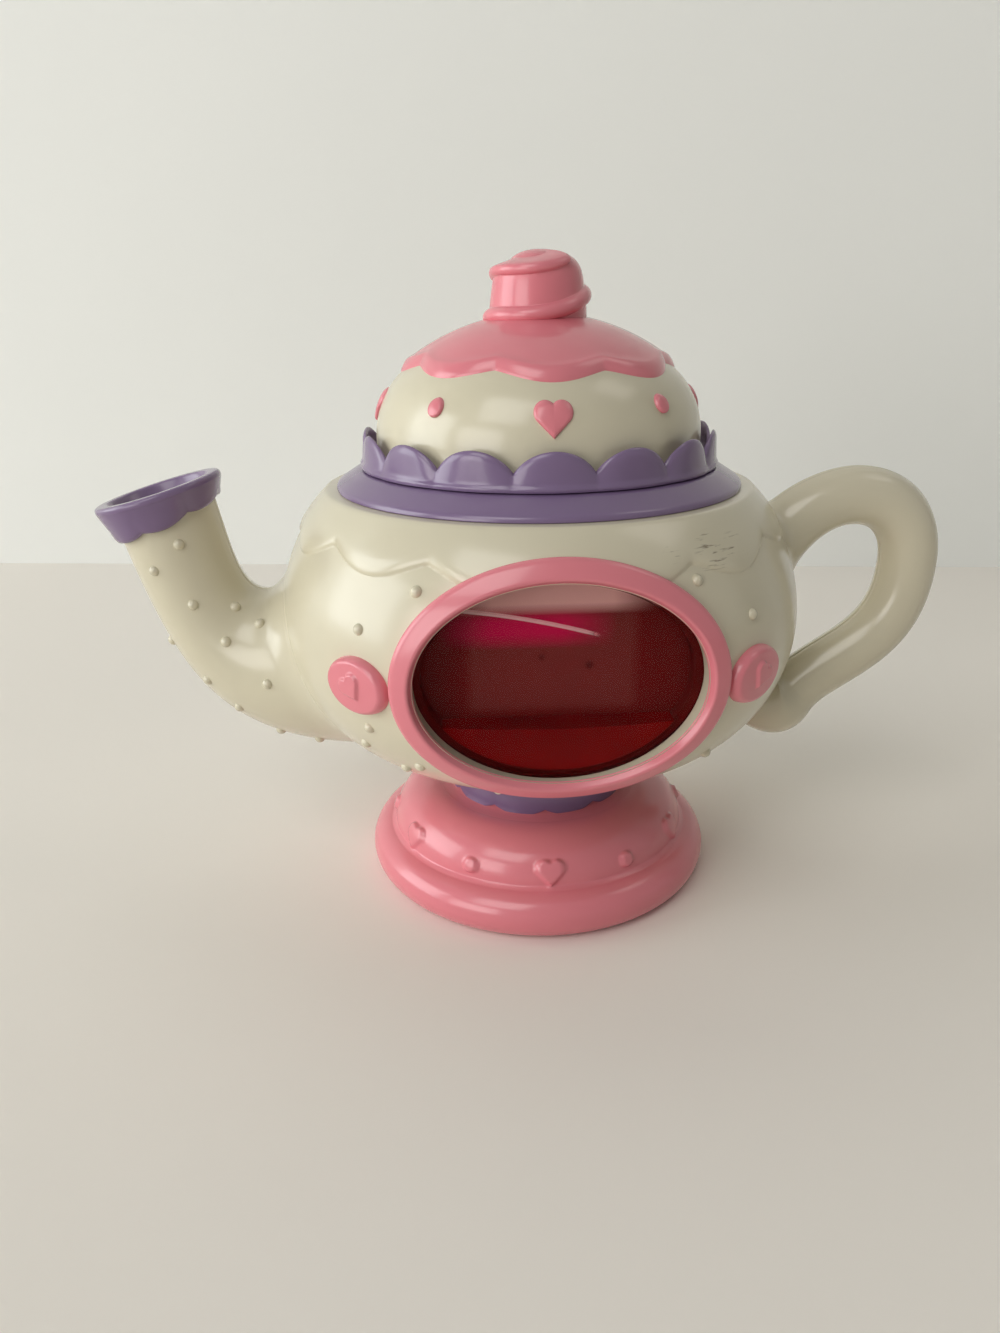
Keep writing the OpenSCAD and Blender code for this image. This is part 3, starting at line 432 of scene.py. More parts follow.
def spout_skin():
    """The spout's outside from the bowl to the mouth and its inside back to the bowl, as one closed wall."""
    turn = np.sort(np.concatenate([around(96), [0.9, 2, 178, 179.1, 180.9, 182, 358, 359.1]]))
    share = np.linspace(0, 1, 84)[:, None] ** 1.5
    walls = []
    for inset in (0.0, WALL):
        start = leave_bowl(spout_line, turn, 0.0, 0.7, inset) - 0.012
        t = start + (0.965 - start) * share
        points, side = tube_point(spout_line, t, np.broadcast_to(turn, t.shape), inset)
        if inset == 0:
            points = flare(points, side, 5.0) + (seam_groove(turn, 14.0) * (share > 0.02))[..., None] * side
        walls.append(points)
    return [Patch(np.concatenate([walls[0], walls[1][::-1]]), loop_rows=True)]


def pearls_on_spout():
    """Pearls at their places on the spout's wall."""
    places = np.array(SPOUT_PEARLS, float)
    points, sides = tube_point(spout_line, places[:, 0], places[:, 1])
    return [pearl(p, n) for p, n in zip(points, sides)]


def handle_skin():
    """The handle's outside from the bowl over the top and back to the bowl, closed at both ends inside the wall,
    with a seam on its parting plane."""
    turn = np.sort(np.concatenate([around(90), [1, 2, 3, 177, 178, 179, 181, 182, 183, 357, 358, 359]]))
    start = leave_bowl(handle_line, turn, 0.0, 0.6)
    end = leave_bowl(handle_line, turn, 3.0, 2.0)
    share = np.linspace(0, 1, 220)[:, None]
    t = start + (end - start) * share
    points, side = tube_point(handle_line, t, np.broadcast_to(turn, t.shape))
    groove = seam_groove(turn, HANDLE_R) * smooth(share / 0.03) * smooth((1 - share) / 0.03)
    points = flare(points, side, 4.0) + groove[..., None] * side
    caps = [np.broadcast_to(row.mean(0), (1,) + row.shape) for row in (points[0], points[-1])]
    return [Patch(np.concatenate([caps[0], points, caps[1]]))]


def spout_rim():
    """The purple rim, turned round the mouth's axis: over a rolled lip from the flared bore, down a side that draws
    in to an uneven dripping edge, deepest at the far side from the bowl, under it and up the spout's own wall."""
    turn = around(192)
    toward_bowl = np.sin(np.radians(turn))
    uneven = 0.7 + 0.3 * np.sin(np.radians(2 * turn + 50))
    hang = RIM_H * (0.86 - 0.24 * toward_bowl) + 1.5 * drips(turn, RIM_DRIPS, 12, 0.8) * uneven - 0.7
    bore, sit, foot = SPOUT_MOUTH_R - WALL, SPOUT_MOUTH_R + 0.1, RIM_R - RIM_TAPER
    lip = soften([(RIM_R - 0.1, 0.0), (RIM_R + 0.1, RIM_LIP), (bore + 2.5, RIM_LIP), (bore, -4.0), (bore, -6.5),
                  (bore + 1.0, -6.5), (bore + 1.0, -3.0)], [0.1, 1.5, 0.9, 1.2, 0.2, 0.2, 0.1], 8)[2:]
    rows = [(r + 0 * turn, z + 0 * turn) for r, z in lip]
    for f, r in ((0.3, sit), (0.85, sit), (0.97, sit + 0.2), (1.0, sit + 0.6), (0.97, foot - 0.5), (0.86, foot - 0.05),
                 (0.6, foot + 0.35), (0.3, RIM_R - 0.75), (0.06, RIM_R - 0.2)):
        rows.append((r + 0 * turn, -f * hang))
    r, z = (np.stack(v) for v in zip(*rows))
    flat = turned(r, z, turn)
    _, heading, _ = spout_line(np.array([1.0]))
    across = np.array([heading[0, 1], 0, -heading[0, 0]])
    upright = np.array([heading[0, 0], 0, heading[0, 1]])
    points = flat[..., :1] * across + flat[..., 1:2] * np.array([0, 1, 0]) + flat[..., 2:] * upright
    return [Patch(points + np.array([SPOUT_MOUTH[0], 0, SPOUT_MOUTH[1]]), loop_rows=True)]


# The window

def window_frame():
    """The pink frame: a rounded section, wide as the frame and high as it stands off, carried round the window's
    oval on the bowl's surface."""
    turn = around(240)
    section = soften([(0.0, -0.4), (0.1, FRAME_T - 0.1), (FRAME_W - 0.5, FRAME_T + 0.05), (FRAME_W, -0.4)],
                     [0.1, 0.7, 1.5, 0.1], 9)
    rows = []
    for grow, lift in section:
        x, z = window_oval(grow, turn)
        base = np.stack([x, -np.sqrt(bowl_radius(z) ** 2 - x ** 2), z], -1)
        _, normal = bowl_gap(base)
        rows.append(base + lift * normal)
    return [Patch(np.stack(rows), loop_rows=True)]


def window_lens():
    """The clear lens: a domed front, a step down to its flange, the flange's edge and back, and a domed back."""
    turn = around(160)
    back = SLEEVE_Y - LENS_FLANGE_T
    front, behind = window_oval(-LENS_GAP, turn), window_oval(-LENS_T - LENS_GAP, turn)
    flange = window_oval(LENS_FLANGE_W, turn)
    rows = [(f * front[0], WINDOW_Z + f * (front[1] - WINDOW_Z), 0) for f in np.linspace(0, 1, 24)]
    rows += [front + (SLEEVE_Y,), flange + (SLEEVE_Y,), flange + (back,), behind + (back,)]
    rows += [(f * behind[0], WINDOW_Z + f * (behind[1] - WINDOW_Z), LENS_T) for f in np.linspace(1, 0, 16)]
    grid = []
    for x, z, y in rows:
        if y < back:
            y = LENS_Y - LENS_DOME + np.sqrt((LENS_DOME - y) ** 2 - x ** 2 - (z - WINDOW_Z) ** 2)
        grid.append(np.stack([x, -y + 0 * x, z], -1))
    return [Patch(np.stack(grid))]


def raised_patch(radius_at, across, upwards, lift, azimuth, height):
    """A closed relief on a turned surface, whose radius_at gives its radius at a height and a lift: steps across and
    upwards from a place on it, lifted off it, with a last ring that goes down into it and closes."""
    a = math.radians(azimuth)
    out, beside = np.array([math.sin(a), -math.cos(a), 0]), np.array([math.cos(a), math.sin(a), 0])
    lift = np.concatenate([lift, np.full_like(lift[:1], -0.5)])
    across, upwards = (np.concatenate([v, v[-1:]]) for v in (across, upwards))
    z = height + upwards
    reach = np.sqrt(np.maximum(radius_at(z, lift) ** 2 - across ** 2, 0))
    rows = reach[..., None] * out + across[..., None] * beside + z[..., None] * np.array([0, 0, 1])
    return Patch(np.concatenate([rows, np.broadcast_to(rows[-1].mean(0), rows[:1].shape)]))


def heart_distance(x, y):
    """Signed distance to a heart whose tip is at the origin and whose lobes reach a height of about 1.1."""
    x = np.abs(x)
    lobes = np.hypot(x - 0.25, y - 0.75) - math.sqrt(2) / 4
    half = np.maximum(x + y, 0) / 2
    sides = np.minimum(np.hypot(x, y - 1), np.hypot(x - half, y - half)) * np.sign(x - y)
    return np.where(x + y > 1, lobes, sides)


def heart_edge(turn, width):
    """Distance from a heart's middle to its edge at degrees from its right, by halving, for a heart of a width."""
    a = np.radians(turn)
    low, high = np.zeros_like(a), np.full_like(a, 1.2)
    for _ in range(30):
        middle = (low + high) / 2
        inside = heart_distance(middle * np.cos(a), 0.55 + middle * np.sin(a)) < 0
        low, high = np.where(inside, middle, low), np.where(inside, high, middle)
    return low * width / (0.5 + math.sqrt(0.5))


def heart_relief(across, upwards, width, edge):
    """A raised heart: 1 inside, falling to 0 over the edge's width outside."""
    scale = width / (0.5 + math.sqrt(0.5))
    return smooth(-heart_distance(across / scale, upwards / scale + 0.55) * scale / edge + 0.3)


def medallion(side):
    """A pink oval on the bowl: rings from its middle to a rounded edge and down into the bowl, with a raised heart."""
    turn, flat = np.radians(around(120)), 0.82
    share = rings(0, flat, 30, 10, 10)
    across, upwards = MEDALLION_A * share * np.cos(turn), MEDALLION_B * share * np.sin(turn)
    tilt = math.radians(-35 * side)
    lean = across * math.cos(tilt) + upwards * math.sin(tilt), upwards * math.cos(tilt) - across * math.sin(tilt)
    lift = MEDALLION_T * rounded_edge((1 - share) / (1 - flat)) + 0.7 * heart_relief(*lean, HEART_W * 0.8, 0.9)
    return [raised_patch(bowl_radius, across, upwards, lift, side * MEDALLION_AZIMUTH, MEDALLION_Z)]


# The lid

def dome_curve(radius, lift=0.0):
    """Height of the dome, grown by lift, at a plan radius: a crown arc and a side arc."""
    joint = DOME_X + (DOME_ARC + lift) * DOME_X / (DOME_CROWN - DOME_ARC)
    crown = DOME_CROWN_Z + np.sqrt(np.maximum((DOME_CROWN + lift) ** 2 - radius ** 2, 0))
    side = DOME_Z + np.sqrt(np.maximum((DOME_ARC + lift) ** 2 - (radius - DOME_X) ** 2, 0))
    return np.where(radius < joint, crown, side)


def dome_radius(height, lift=0.0):
    """Plan radius of the dome, grown by lift, at a height on its side arc or its upright wall."""
    h = np.maximum(height - DOME_Z, 0)
    return DOME_X + np.sqrt(np.maximum((DOME_ARC + lift) ** 2 - h ** 2, 0))


def lid_dome():
    """The dome, turned: down the plug's inside and up its outside, out round the flange, up the wall, over the crown
    and down the inside again."""
    a = np.radians(np.linspace(0, 52, 30))
    side = np.stack([DOME_X + DOME_ARC * np.cos(a), DOME_Z + DOME_ARC * np.sin(a)], -1)
    r = np.linspace(side[-1, 0], 0, 30)[1:]
    crown = np.stack([r, dome_curve(r)], -1)
    r = np.linspace(0, DOME_R - LID_WALL - 1.2, 40)
    inside = np.stack([r, dome_curve(r, -LID_WALL)], -1)
    plug, low, flange = LID_HOLE_R - PLUG_GAP, LID_Z - PLUG_H, DOME_R + 2
    corners = soften([(plug - LID_WALL, DOME_Z), (plug - LID_WALL, low), (plug, low), (plug, LID_Z), (flange, LID_Z),
                      (flange, LID_Z + 2), (DOME_R, LID_Z + 2), (DOME_R, LID_Z + 3)],
                     [0.1, 0.5, 0.8, 0.2, 0.2, 0.2, 0.2, 0.1], 4)
    outline = np.concatenate([corners, side[1:], crown, inside])
    return [Patch(turned(outline[:, :1], outline[:, 1:], around(200)), loop_rows=True)]


def lid_ruffle():
    """The purple ruffle: a thin wall that stands off the dome, with a top edge of round arches that meet in notches.
    Each arch bulges a little outwards, more towards its top, and the wall's edge is rounded over."""
    turn, flat = around(450), 0.78
    half = 180 / RUFFLE_LOBES
    off = ((turn + half) % (2 * half) - half)[None] / half
    width = math.pi * RUFFLE_R / RUFFLE_LOBES * 0.97
    arch = (width ** 2 + RUFFLE_NOTCH ** 2) / (2 * RUFFLE_NOTCH)
    top = RUFFLE_H - arch + np.sqrt(arch ** 2 - 0.985 * (width * off) ** 2)
    share = rings(0, flat, 18, 8, 9)
    edge = rounded_edge((1 - share) / (1 - flat))
    bulge = -(off ** 2) * (0.3 + 0.7 * share)
    foot = 0.45 * np.exp(-((share * top - 0.7) / 0.6) ** 2)
    outer = RUFFLE_R - 0.3 + bulge + foot - 0.5 * share
    inner = np.minimum(DOME_R + 0.25 + 2.2 * smooth(share * 1.6), outer - 1.2)
    middle = inner + (outer - inner) * 0.4
    outside, inside = (turned(middle + (wall - middle) * edge, LID_Z + SEAT_GAP + share * top, turn)
                       for wall in (outer, inner))
    return [Patch(np.concatenate([outside, inside[::-1][1:]]), loop_rows=True)]


def lid_icing():
    """The pink icing: rings over the dome out to a wavy plan radius, a rounded edge, and back under it."""
    turn, flat = around(256), 0.93
    wave = 0.4 * np.sin(np.radians(2 * turn + 30))
    reach = LID_ICING_R + LID_ICING_DRIP * drips(turn, LID_ICING_DRIPS, 0, 1.2) + wave
    share = rings(0.1, flat, 34, 8, 10)
    edge = rounded_edge((1 - share) / (1 - flat))
    rim = 0.35 * np.exp(-((share - 0.955) / 0.03) ** 2)
    r = share * reach
    outside = turned(r, dome_curve(r, LID_ICING_T) + (edge - 1) * LID_ICING_T * 1.3 + rim, turn)
    under = turned(r, dome_curve(r, -0.6), turn)
    return [Patch(np.concatenate([outside, under[::-1]]), loop_rows=True)]


def lid_motif(edge, turn, azimuth, height):
    """A raised motif on the dome: rings from its middle to its edge, pillowed, and down into the dome."""
    flat = 0.7
    share = rings(0, flat, 8, 15, 8)
    across, upwards = share * edge * np.cos(np.radians(turn)), share * edge * np.sin(np.radians(turn))
    pillow = RELIEF * (0.75 + 0.25 * (1 - share ** 2)) * rounded_edge((1 - share) / (1 - flat))
    return raised_patch(dome_radius, across, upwards, pillow + 0 * across, azimuth, height)


def lid_knob():
    """The wrapped knob: a round body that steps in above its band and closes over the top, and a bead that climbs
    round it. The bead runs level at the left, climbs over the front's right half and ends there in a tip."""
    def climb(lap):
        """Height of the bead at a share of a turn: an even climb with a wave, level at the left."""
        return SWIRL_PITCH * (lap - np.sin(4 * math.pi * (lap - 0.13)) / (4 * math.pi))

    base, root, tip = DOME_Z + DOME_H, 2.0, 0.42
    turn, u = around(216)[None], rings(0, 0.84, 110, 1, 26)
    height = u * (KNOB_H + root) - root
    lap = (turn + 90) % 360 / 360
    fall = climb(tip) + (climb(0) - climb(tip)) * smooth((lap - tip) / (1 - tip))
    ledge = SWIRL_PITCH - 0.6 + np.where(lap < tip, climb(lap), fall)
    body = KNOB_R - 1.2 - 0.9 * smooth(height / 11) - 2.6 * smooth((height - ledge) / 1.8)
    body = body * np.sqrt(np.clip(1 - np.clip(height / KNOB_H, 0, 1) ** 6, 0, 1))
    bead = np.zeros_like(u * turn)
    for k in range(2):
        ridge = climb(lap) + SWIRL_PITCH * k - 0.8
        fade = smooth((1 + tip - lap - k) / 0.06)
        round_bead = np.sqrt(np.clip(1 - ((height - ridge) / (SWIRL_W + 0.5)) ** 2, 0, 1)) ** 1.3
        lip = 0.7 * np.exp(-((lap + k - 1.37) / 0.05) ** 2)
        bead = np.maximum(bead, fade * (SWIRL_H - 0.3 * (lap + k) + lip) * round_bead)
    r = np.maximum(body + bead * smooth((1 - u) / 0.03), 0)
    return [Patch(np.concatenate([turned(0.0 * turn, base - 1.2 + 0 * turn, turn), turned(r, base + height, turn)]))]


# The pedestal

def pedestal_outline():
    """Half outline of the pedestal as radius and height: up from under the bead, round it, over the bell, in to the
    neck over a soft fillet, up the neck, across the top, down the axis, and out over the plate's recess."""
    bead = np.radians(np.linspace(-70, 84, 30))
    bell = np.radians(np.linspace(4, 96, 34))
    bead = np.stack([FOOT_R - BEAD_R + BEAD_R * np.cos(bead), BEAD_Z + BEAD_R * np.sin(bead)], -1)
    bell = np.stack([BELL_X + BELL_ARC * np.cos(bell), BELL_Z + BELL_ARC * np.sin(bell)], -1)
    bell_top, recess = BELL_Z + BELL_ARC, FOOT_R - BEAD_R - 2
    neck = soften([bell[-1], (NECK_R + 6.0, bell_top - 0.3), (NECK_R, bell_top + 0.2), (NECK_R, PEDESTAL_H),
                   (0, PEDESTAL_H)], [0.1, 1.0, 3.0, 0.4, 0.1], 6)[6:24]
    under = np.array([(0, PEDESTAL_H), (0, PLATE_T), (recess, PLATE_T), (recess, 0.2), (recess + 0.3, 0),
                      (FOOT_R - BEAD_R + 1.6, 0)])
    return np.concatenate([bead, bell, neck, under])


def pedestal():
    """The pedestal's outline in finer steps, turned round the axis, with raised hearts and dots in turn on its bell."""
    turn = around(360)
    outline = pedestal_outline()
    last = len(outline) - 1
    fine = np.linspace(0, last, 3 * len(outline))
    whole, part = np.floor(fine).astype(int), (fine % 1)[:, None]
    outline = outline[whole] * (1 - part) + outline[np.minimum(whole + 1, last)] * part
    r, z = outline[:, :1], outline[:, 1:]
    on_bell = ((z > BELL_Z + 0.1) & (r > BELL_X)).astype(float)
    steep = np.clip((z - BELL_Z) / BELL_ARC, 0, 1)
    upwards = BELL_ARC * (np.arcsin(steep) - math.asin(MOTIF_RISE))
    by_heart, by_dot = (np.radians((turn + first) % 60 - 30)[None] * (BELL_X + BELL_ARC) for first in (30, 60))
    hearts = heart_relief(by_heart, upwards, HEART_W * 0.9, 1.0)
    dots = smooth(DOT_R + 0.3 - np.hypot(by_dot, upwards))
    lift = RELIEF * on_bell * np.maximum(hearts, dots)
    out = np.sqrt(np.clip(1 - steep ** 2, 0, 1))
    return [Patch(turned(r + out * lift, z + steep * lift, turn), loop_rows=True)]


def neck_skirt():
    """The purple skirt round the neck: a thin rounded wall whose lower edge hangs in drips."""
    turn = around(264)
    top, inner, outer = PEDESTAL_H - SEAT_GAP, NECK_R + SEAT_GAP, NECK_R + SKIRT_T
    hang = SKIRT_H + SKIRT_DRIP * drips(turn, SKIRT_DRIPS, 180 / SKIRT_DRIPS, 0.9) - 0.4
    section = soften([(inner, 0.0), (outer, 0.0), (outer, 1.0), (inner, 1.0)], [0.02, 0.02, 0.14, 0.02], 7)
    return [Patch(turned(section[:, :1], top - section[:, 1:] * hang, turn), loop_rows=True)]


def collar():
    """The purple collar, turned: a sloping outside with soft edges, a flat top, and a spigot in the bowl's mouth."""
    seat, low = MOUTH_Z + SEAT_GAP, MOUTH_Z - SPIGOT_H
    outline = soften([(LID_HOLE_R, COLLAR_Z - 3.1), (LID_HOLE_R, COLLAR_Z), (COLLAR_TOP_R, COLLAR_Z),
                      (COLLAR_R - 0.2, MOUTH_Z + 1.3), (COLLAR_R, seat), (SPIGOT_R, seat), (SPIGOT_R, low),
                      (SPIGOT_R - WALL, low), (SPIGOT_R - WALL, MOUTH_Z)],
                     [0.4, 0.6, 1.2, 0.8, 0.3, 0.1, 0.3, 0.3, 0.1], 6)
    return [Patch(turned(outline[:, :1], outline[:, 1:], around(240)), loop_rows=True)]


# Materials

def wire(tree, node, inputs):
    """Gives a node's inputs plain values or other nodes' outputs."""
    for name, value in inputs.items():
        if isinstance(value, bpy.types.NodeSocket):
            tree.links.new(value, node.inputs[name])
        else:
            node.inputs[name].default_value = value


def add(tree, kind, inputs=None, **settings):
    """A new node with its settings and inputs."""
    made = tree.nodes.new(kind)
    for name, value in settings.items():
        setattr(made, name, value)
    wire(tree, made, inputs or {})
    return made


def blank(name):
    """A new material, its tree, its shader and the object coordinates."""
    material = bpy.data.materials.new(name)
    material.use_nodes = True
    tree = material.node_tree
    return material, tree, tree.nodes["Principled BSDF"], add(tree, "ShaderNodeTexCoord").outputs["Object"]


def noise(tree, where, scale, detail=3.0, roughness=0.5):
    """A noise value from 0 to 1."""
    inputs = {"Vector": where, "Scale": scale, "Detail": detail, "Roughness": roughness}
    return add(tree, "ShaderNodeTexNoise", inputs).outputs["Fac"]


def fit(tree, value, low, high, to_low, to_high):
    """A value mapped from one range to another and held inside it."""
    inputs = {"Value": value, "From Min": low, "From Max": high, "To Min": to_low, "To Max": to_high}
    return add(tree, "ShaderNodeMapRange", inputs).outputs["Result"]


def blend(tree, share, first, second):
    """Two colours mixed by a share."""
    inputs = {0: share, 6: first, 7: second}
    return add(tree, "ShaderNodeMix", inputs, data_type="RGBA", clamp_factor=True).outputs[2]


def maths(tree, operation, first, second=0.0):
    """One sum on two values."""
    return add(tree, "ShaderNodeMath", {0: first, 1: second}, operation=operation).outputs[0]


def near(tree, value, middle, far, full):
    """1 where a value is closer than full to the middle, falling to 0 at far from it."""
    away = maths(tree, "ABSOLUTE", maths(tree, "SUBTRACT", value, middle))
    return fit(tree, away, far, full, 0.0, 1.0)


def spot(tree, where, centre, radius):
    """1 at a place in millimetres and 0 past its radius."""
    inputs = {0: where, 1: tuple(c * MM for c in centre)}
    away = add(tree, "ShaderNodeVectorMath", inputs, operation="DISTANCE").outputs["Value"]
    return fit(tree, away, radius * MM, 0.4 * radius * MM, 0.0, 1.0)


def moulded(name, colour, deep, roughness, marks=None):
    """Glossy moulded plastic: broad clouds of a deeper tint, slightly uneven gloss, a faint orange peel and a few
    dark specks of dirt."""
    material, tree, shader, where = blank(name)
    clouds = fit(tree, noise(tree, where, 14.0, 0.0), 0.1, 0.9, 0.0, 1.0)
    tint = blend(tree, clouds, colour + (1,), deep + (1,))
    cells = add(tree, "ShaderNodeTexVoronoi", {"Vector": where, "Scale": 70.0}).outputs
    chance = add(tree, "ShaderNodeSeparateColor", {"Color": cells["Color"]}).outputs["Red"]
    speck = fit(tree, cells["Distance"], 0.022, 0.012, 0.0, 0.8)
    speck = maths(tree, "MULTIPLY", maths(tree, "GREATER_THAN", chance, 0.9), speck)
    tint = blend(tree, speck, tint, tuple(0.15 * c for c in deep) + (1,))
    if marks:
        tint = marks(tree, where, tint)
    patchy = fit(tree, noise(tree, where, 30.0, 0.0), 0.2, 0.8, roughness - 0.02, roughness + 0.05)
    peel = {"Height": noise(tree, where, 420.0, 2.0), "Strength": 0.05, "Distance": 0.0003}
    wire(tree, shader, {"Base Color": tint, "Roughness": patchy, "Coat Weight": 0.25, "Coat Roughness": 0.12,
                        "IOR": 1.5, "Normal": add(tree, "ShaderNodeBump", peel).outputs["Normal"]})
    return material


def cream_marks(tree, where, tint):
    """Wear on the cream: thin brown scuffs drawn out sideways on the icing at the right of the front."""
    stretch = {"Vector": where, "Rotation": (0, 0, -0.6), "Scale": (150.0, 150.0, 1500.0)}
    drawn = add(tree, "ShaderNodeMapping", stretch).outputs["Vector"]
    streak = fit(tree, noise(tree, drawn, 1.0, 3.0, 0.6), 0.58, 0.66, 0.0, 0.75)
    for centre, radius in (((34.4, -51.4, 105.8), 6.0), ((40.5, -46.8, 105.2), 4.6), ((24.0, -56.6, 106.3), 2.6)):
        scuff = maths(tree, "MULTIPLY", spot(tree, where, centre, radius), streak)
        tint = blend(tree, scuff, tint, (0.13, 0.085, 0.05, 1))
    return tint


def clear_lens():
    """Clear red plastic with a faint smear and one long pale scratch that curves down to the right."""
    material, tree, shader, where = blank("clear_red_lens")
    axes = add(tree, "ShaderNodeSeparateXYZ", {"Vector": where}).outputs
    run = maths(tree, "ADD", axes["X"], 0.024)
    bend = maths(tree, "MULTIPLY", maths(tree, "POWER", run, 2.0), 4.0)
    level = maths(tree, "SUBTRACT", 0.0955, maths(tree, "ADD", bend, maths(tree, "MULTIPLY", run, 0.05)))
    along = near(tree, axes["X"], -0.008, 0.017, 0.013)
    scratch = maths(tree, "MULTIPLY", near(tree, axes["Z"], level, 0.00035, 0.0001), along)
    dull = maths(tree, "MULTIPLY", scratch, 0.5)
    smear = fit(tree, noise(tree, where, 90.0), 0.4, 0.7, 0.03, 0.09)
    wire(tree, shader, {"Base Color": blend(tree, scratch, (0.93, 0.78, 0.78, 1), (0.85, 0.6, 0.6, 1)), "IOR": 1.12,
                        "Roughness": maths(tree, "ADD", smear, dull),
                        "Transmission Weight": maths(tree, "SUBTRACT", 1.0, dull)})
    return material


def tank_back():
    """The tray seen through the lens: dark maroon, with a paler block of painted hazy reflection above the tea, a
    raspberry streak up at the left, a painted pale reflection along the top and a few dark drops."""
    material, tree, shader, where = blank("stained_tray_painted_reflections")
    axes = add(tree, "ShaderNodeSeparateXYZ", {"Vector": where}).outputs
    x, z = axes["X"], axes["Z"]
    cloud = noise(tree, where, 55.0, 3.0)
    # Painted reflection: a hazy paler block over the tray above the tea's level
    painted_haze_reflection = maths(tree, "MULTIPLY", near(tree, x, -0.001, 0.021, 0.018), fit(tree, z, 0.0675, 0.0695, 0.0, 0.7))
    berry = maths(tree, "MULTIPLY", near(tree, z, 0.089, 0.0055, 0.0015), near(tree, x, -0.007, 0.021, 0.008))
    # Painted reflection: a pale strip along the top of the tray
    top = maths(tree, "MULTIPLY", fit(tree, z, 0.0918, 0.0945, 0.0, 0.9), near(tree, x, -0.001, 0.024, 0.014))
    tint = blend(tree, cloud, (0.10, 0.004, 0.004, 1), (0.15, 0.010, 0.010, 1))
    # Mixes in the painted hazy reflection
    tint = blend(tree, painted_haze_reflection, tint, (0.17, 0.035, 0.032, 1))
    tint = blend(tree, berry, tint, (0.52, 0.006, 0.085, 1))
    # Mixes in the painted pale reflection along the top
    tint = blend(tree, top, tint, (0.80, 0.60, 0.56, 1))
    for drop_x, drop_z, radius in ((-21.0, 88.5, 1.0), (-13.5, 86.0, 0.9), (-3.5, 81.5, 1.5), (7.7, 79.3, 1.7)):
        drop = spot(tree, where, (drop_x, -49.8, drop_z), radius)
        tint = blend(tree, drop, tint, (0.04, 0.002, 0.002, 1))
    wire(tree, shader, {"Base Color": tint, "Roughness": fit(tree, cloud, 0.3, 0.7, 0.3, 0.5),
                        "Specular IOR Level": 0.05})
    return material


def red_tea():
    """Deep red liquid, darker towards its level, with brighter clouds."""
    material, tree, shader, where = blank("red_tea")
    z = add(tree, "ShaderNodeSeparateXYZ", {"Vector": where}).outputs["Z"]
    deep = fit(tree, z, 0.054, TEA_Z * MM, 0.0, 1.0)
    cloud = noise(tree, where, 40.0, 2.0)
    tint = blend(tree, deep, (0.20, 0.001, 0.002, 1), (0.13, 0.001, 0.002, 1))
    tint = blend(tree, fit(tree, cloud, 0.4, 0.75, 0.0, 0.7), tint, (0.26, 0.002, 0.002, 1))
    wire(tree, shader, {"Base Color": tint, "Roughness": fit(tree, cloud, 0.3, 0.7, 0.06, 0.12),
                        "Specular IOR Level": 0.05})
    return material


def zinc_steel():
    """Zinc plate with a dull bloom."""
    material, tree, shader, where = blank("zinc_plated_steel")
    bloom = noise(tree, where, 400.0, 4.0)
    wire(tree, shader, {"Base Color": blend(tree, bloom, (0.55, 0.56, 0.58, 1), (0.40, 0.41, 0.43, 1)),
                        "Roughness": fit(tree, bloom, 0.3, 0.7, 0.25, 0.5), "Metallic": 1.0})
    return material


def black_rubber():
    """Matt rubber with a fine grain."""
    material, tree, shader, where = blank("plug_rubber")
    grain = noise(tree, where, 900.0, 3.0)
    wire(tree, shader, {"Base Color": blend(tree, grain, (0.03, 0.03, 0.03, 1), (0.07, 0.07, 0.07, 1)),
                        "Roughness": fit(tree, grain, 0.3, 0.7, 0.6, 0.85)})
    return material


cream = moulded("cream_plastic", (0.67, 0.62, 0.475), (0.62, 0.57, 0.42), 0.21, cream_marks)
pink = moulded("pink_plastic", (0.76, 0.225, 0.27), (0.70, 0.19, 0.23), 0.2)
purple = moulded("purple_plastic", (0.205, 0.135, 0.26), (0.18, 0.115, 0.23), 0.21)
# The tray's material holds painted reflections as well as its raspberry streak and drops
lens_clear, tray_stain_and_reflections, tea_red = clear_lens(), tank_back(), red_tea()
steel, rubber = zinc_steel(), black_rubber()


# Pieces

front = bowl_half("front_shell_skin", 0)
rear = bowl_half("rear_shell_skin", 180)
root, heading, _ = spout_line(np.array([0.0]))
bore_turn = np.radians(around(64))
bore_axis = np.array([heading[0, 0], 0, heading[0, 1]])
bore_up = np.array([-heading[0, 1], 0, heading[0, 0]])
bore_ring = SPOUT_HOLE_R * (np.cos(bore_turn)[:, None] * bore_up + np.sin(bore_turn)[:, None] * np.array([0, 1, 0]))
bore_from = np.array([root[0, 0], 0, root[0, 1]])
bore_rows = np.stack([bore_from + f * bore_ring + along * bore_axis
                      for f, along in ((0, -4), (1, -4), (1, 40), (0, 40))])
for half in (front, rear):
    cut(half, Patch(bore_rows))
cut(front, prism_y(*window_oval(0.5, around(180)), -90.0, -30.0))
well_turn = np.radians(around(32))
for x, z in SCREW_WELLS:
    cut(rear, prism_y(x + WELL_BORE * np.cos(well_turn), z + WELL_BORE * np.sin(well_turn), 20.0, 80.0))
for half in (front, rear):
    half.data.shade_smooth()
    half.data.set_sharp_from_angle(angle=math.radians(35))
dress(front, cream, "cream", "pot", "front_shell")
dress(rear, cream, "cream", "pot", "rear_shell")

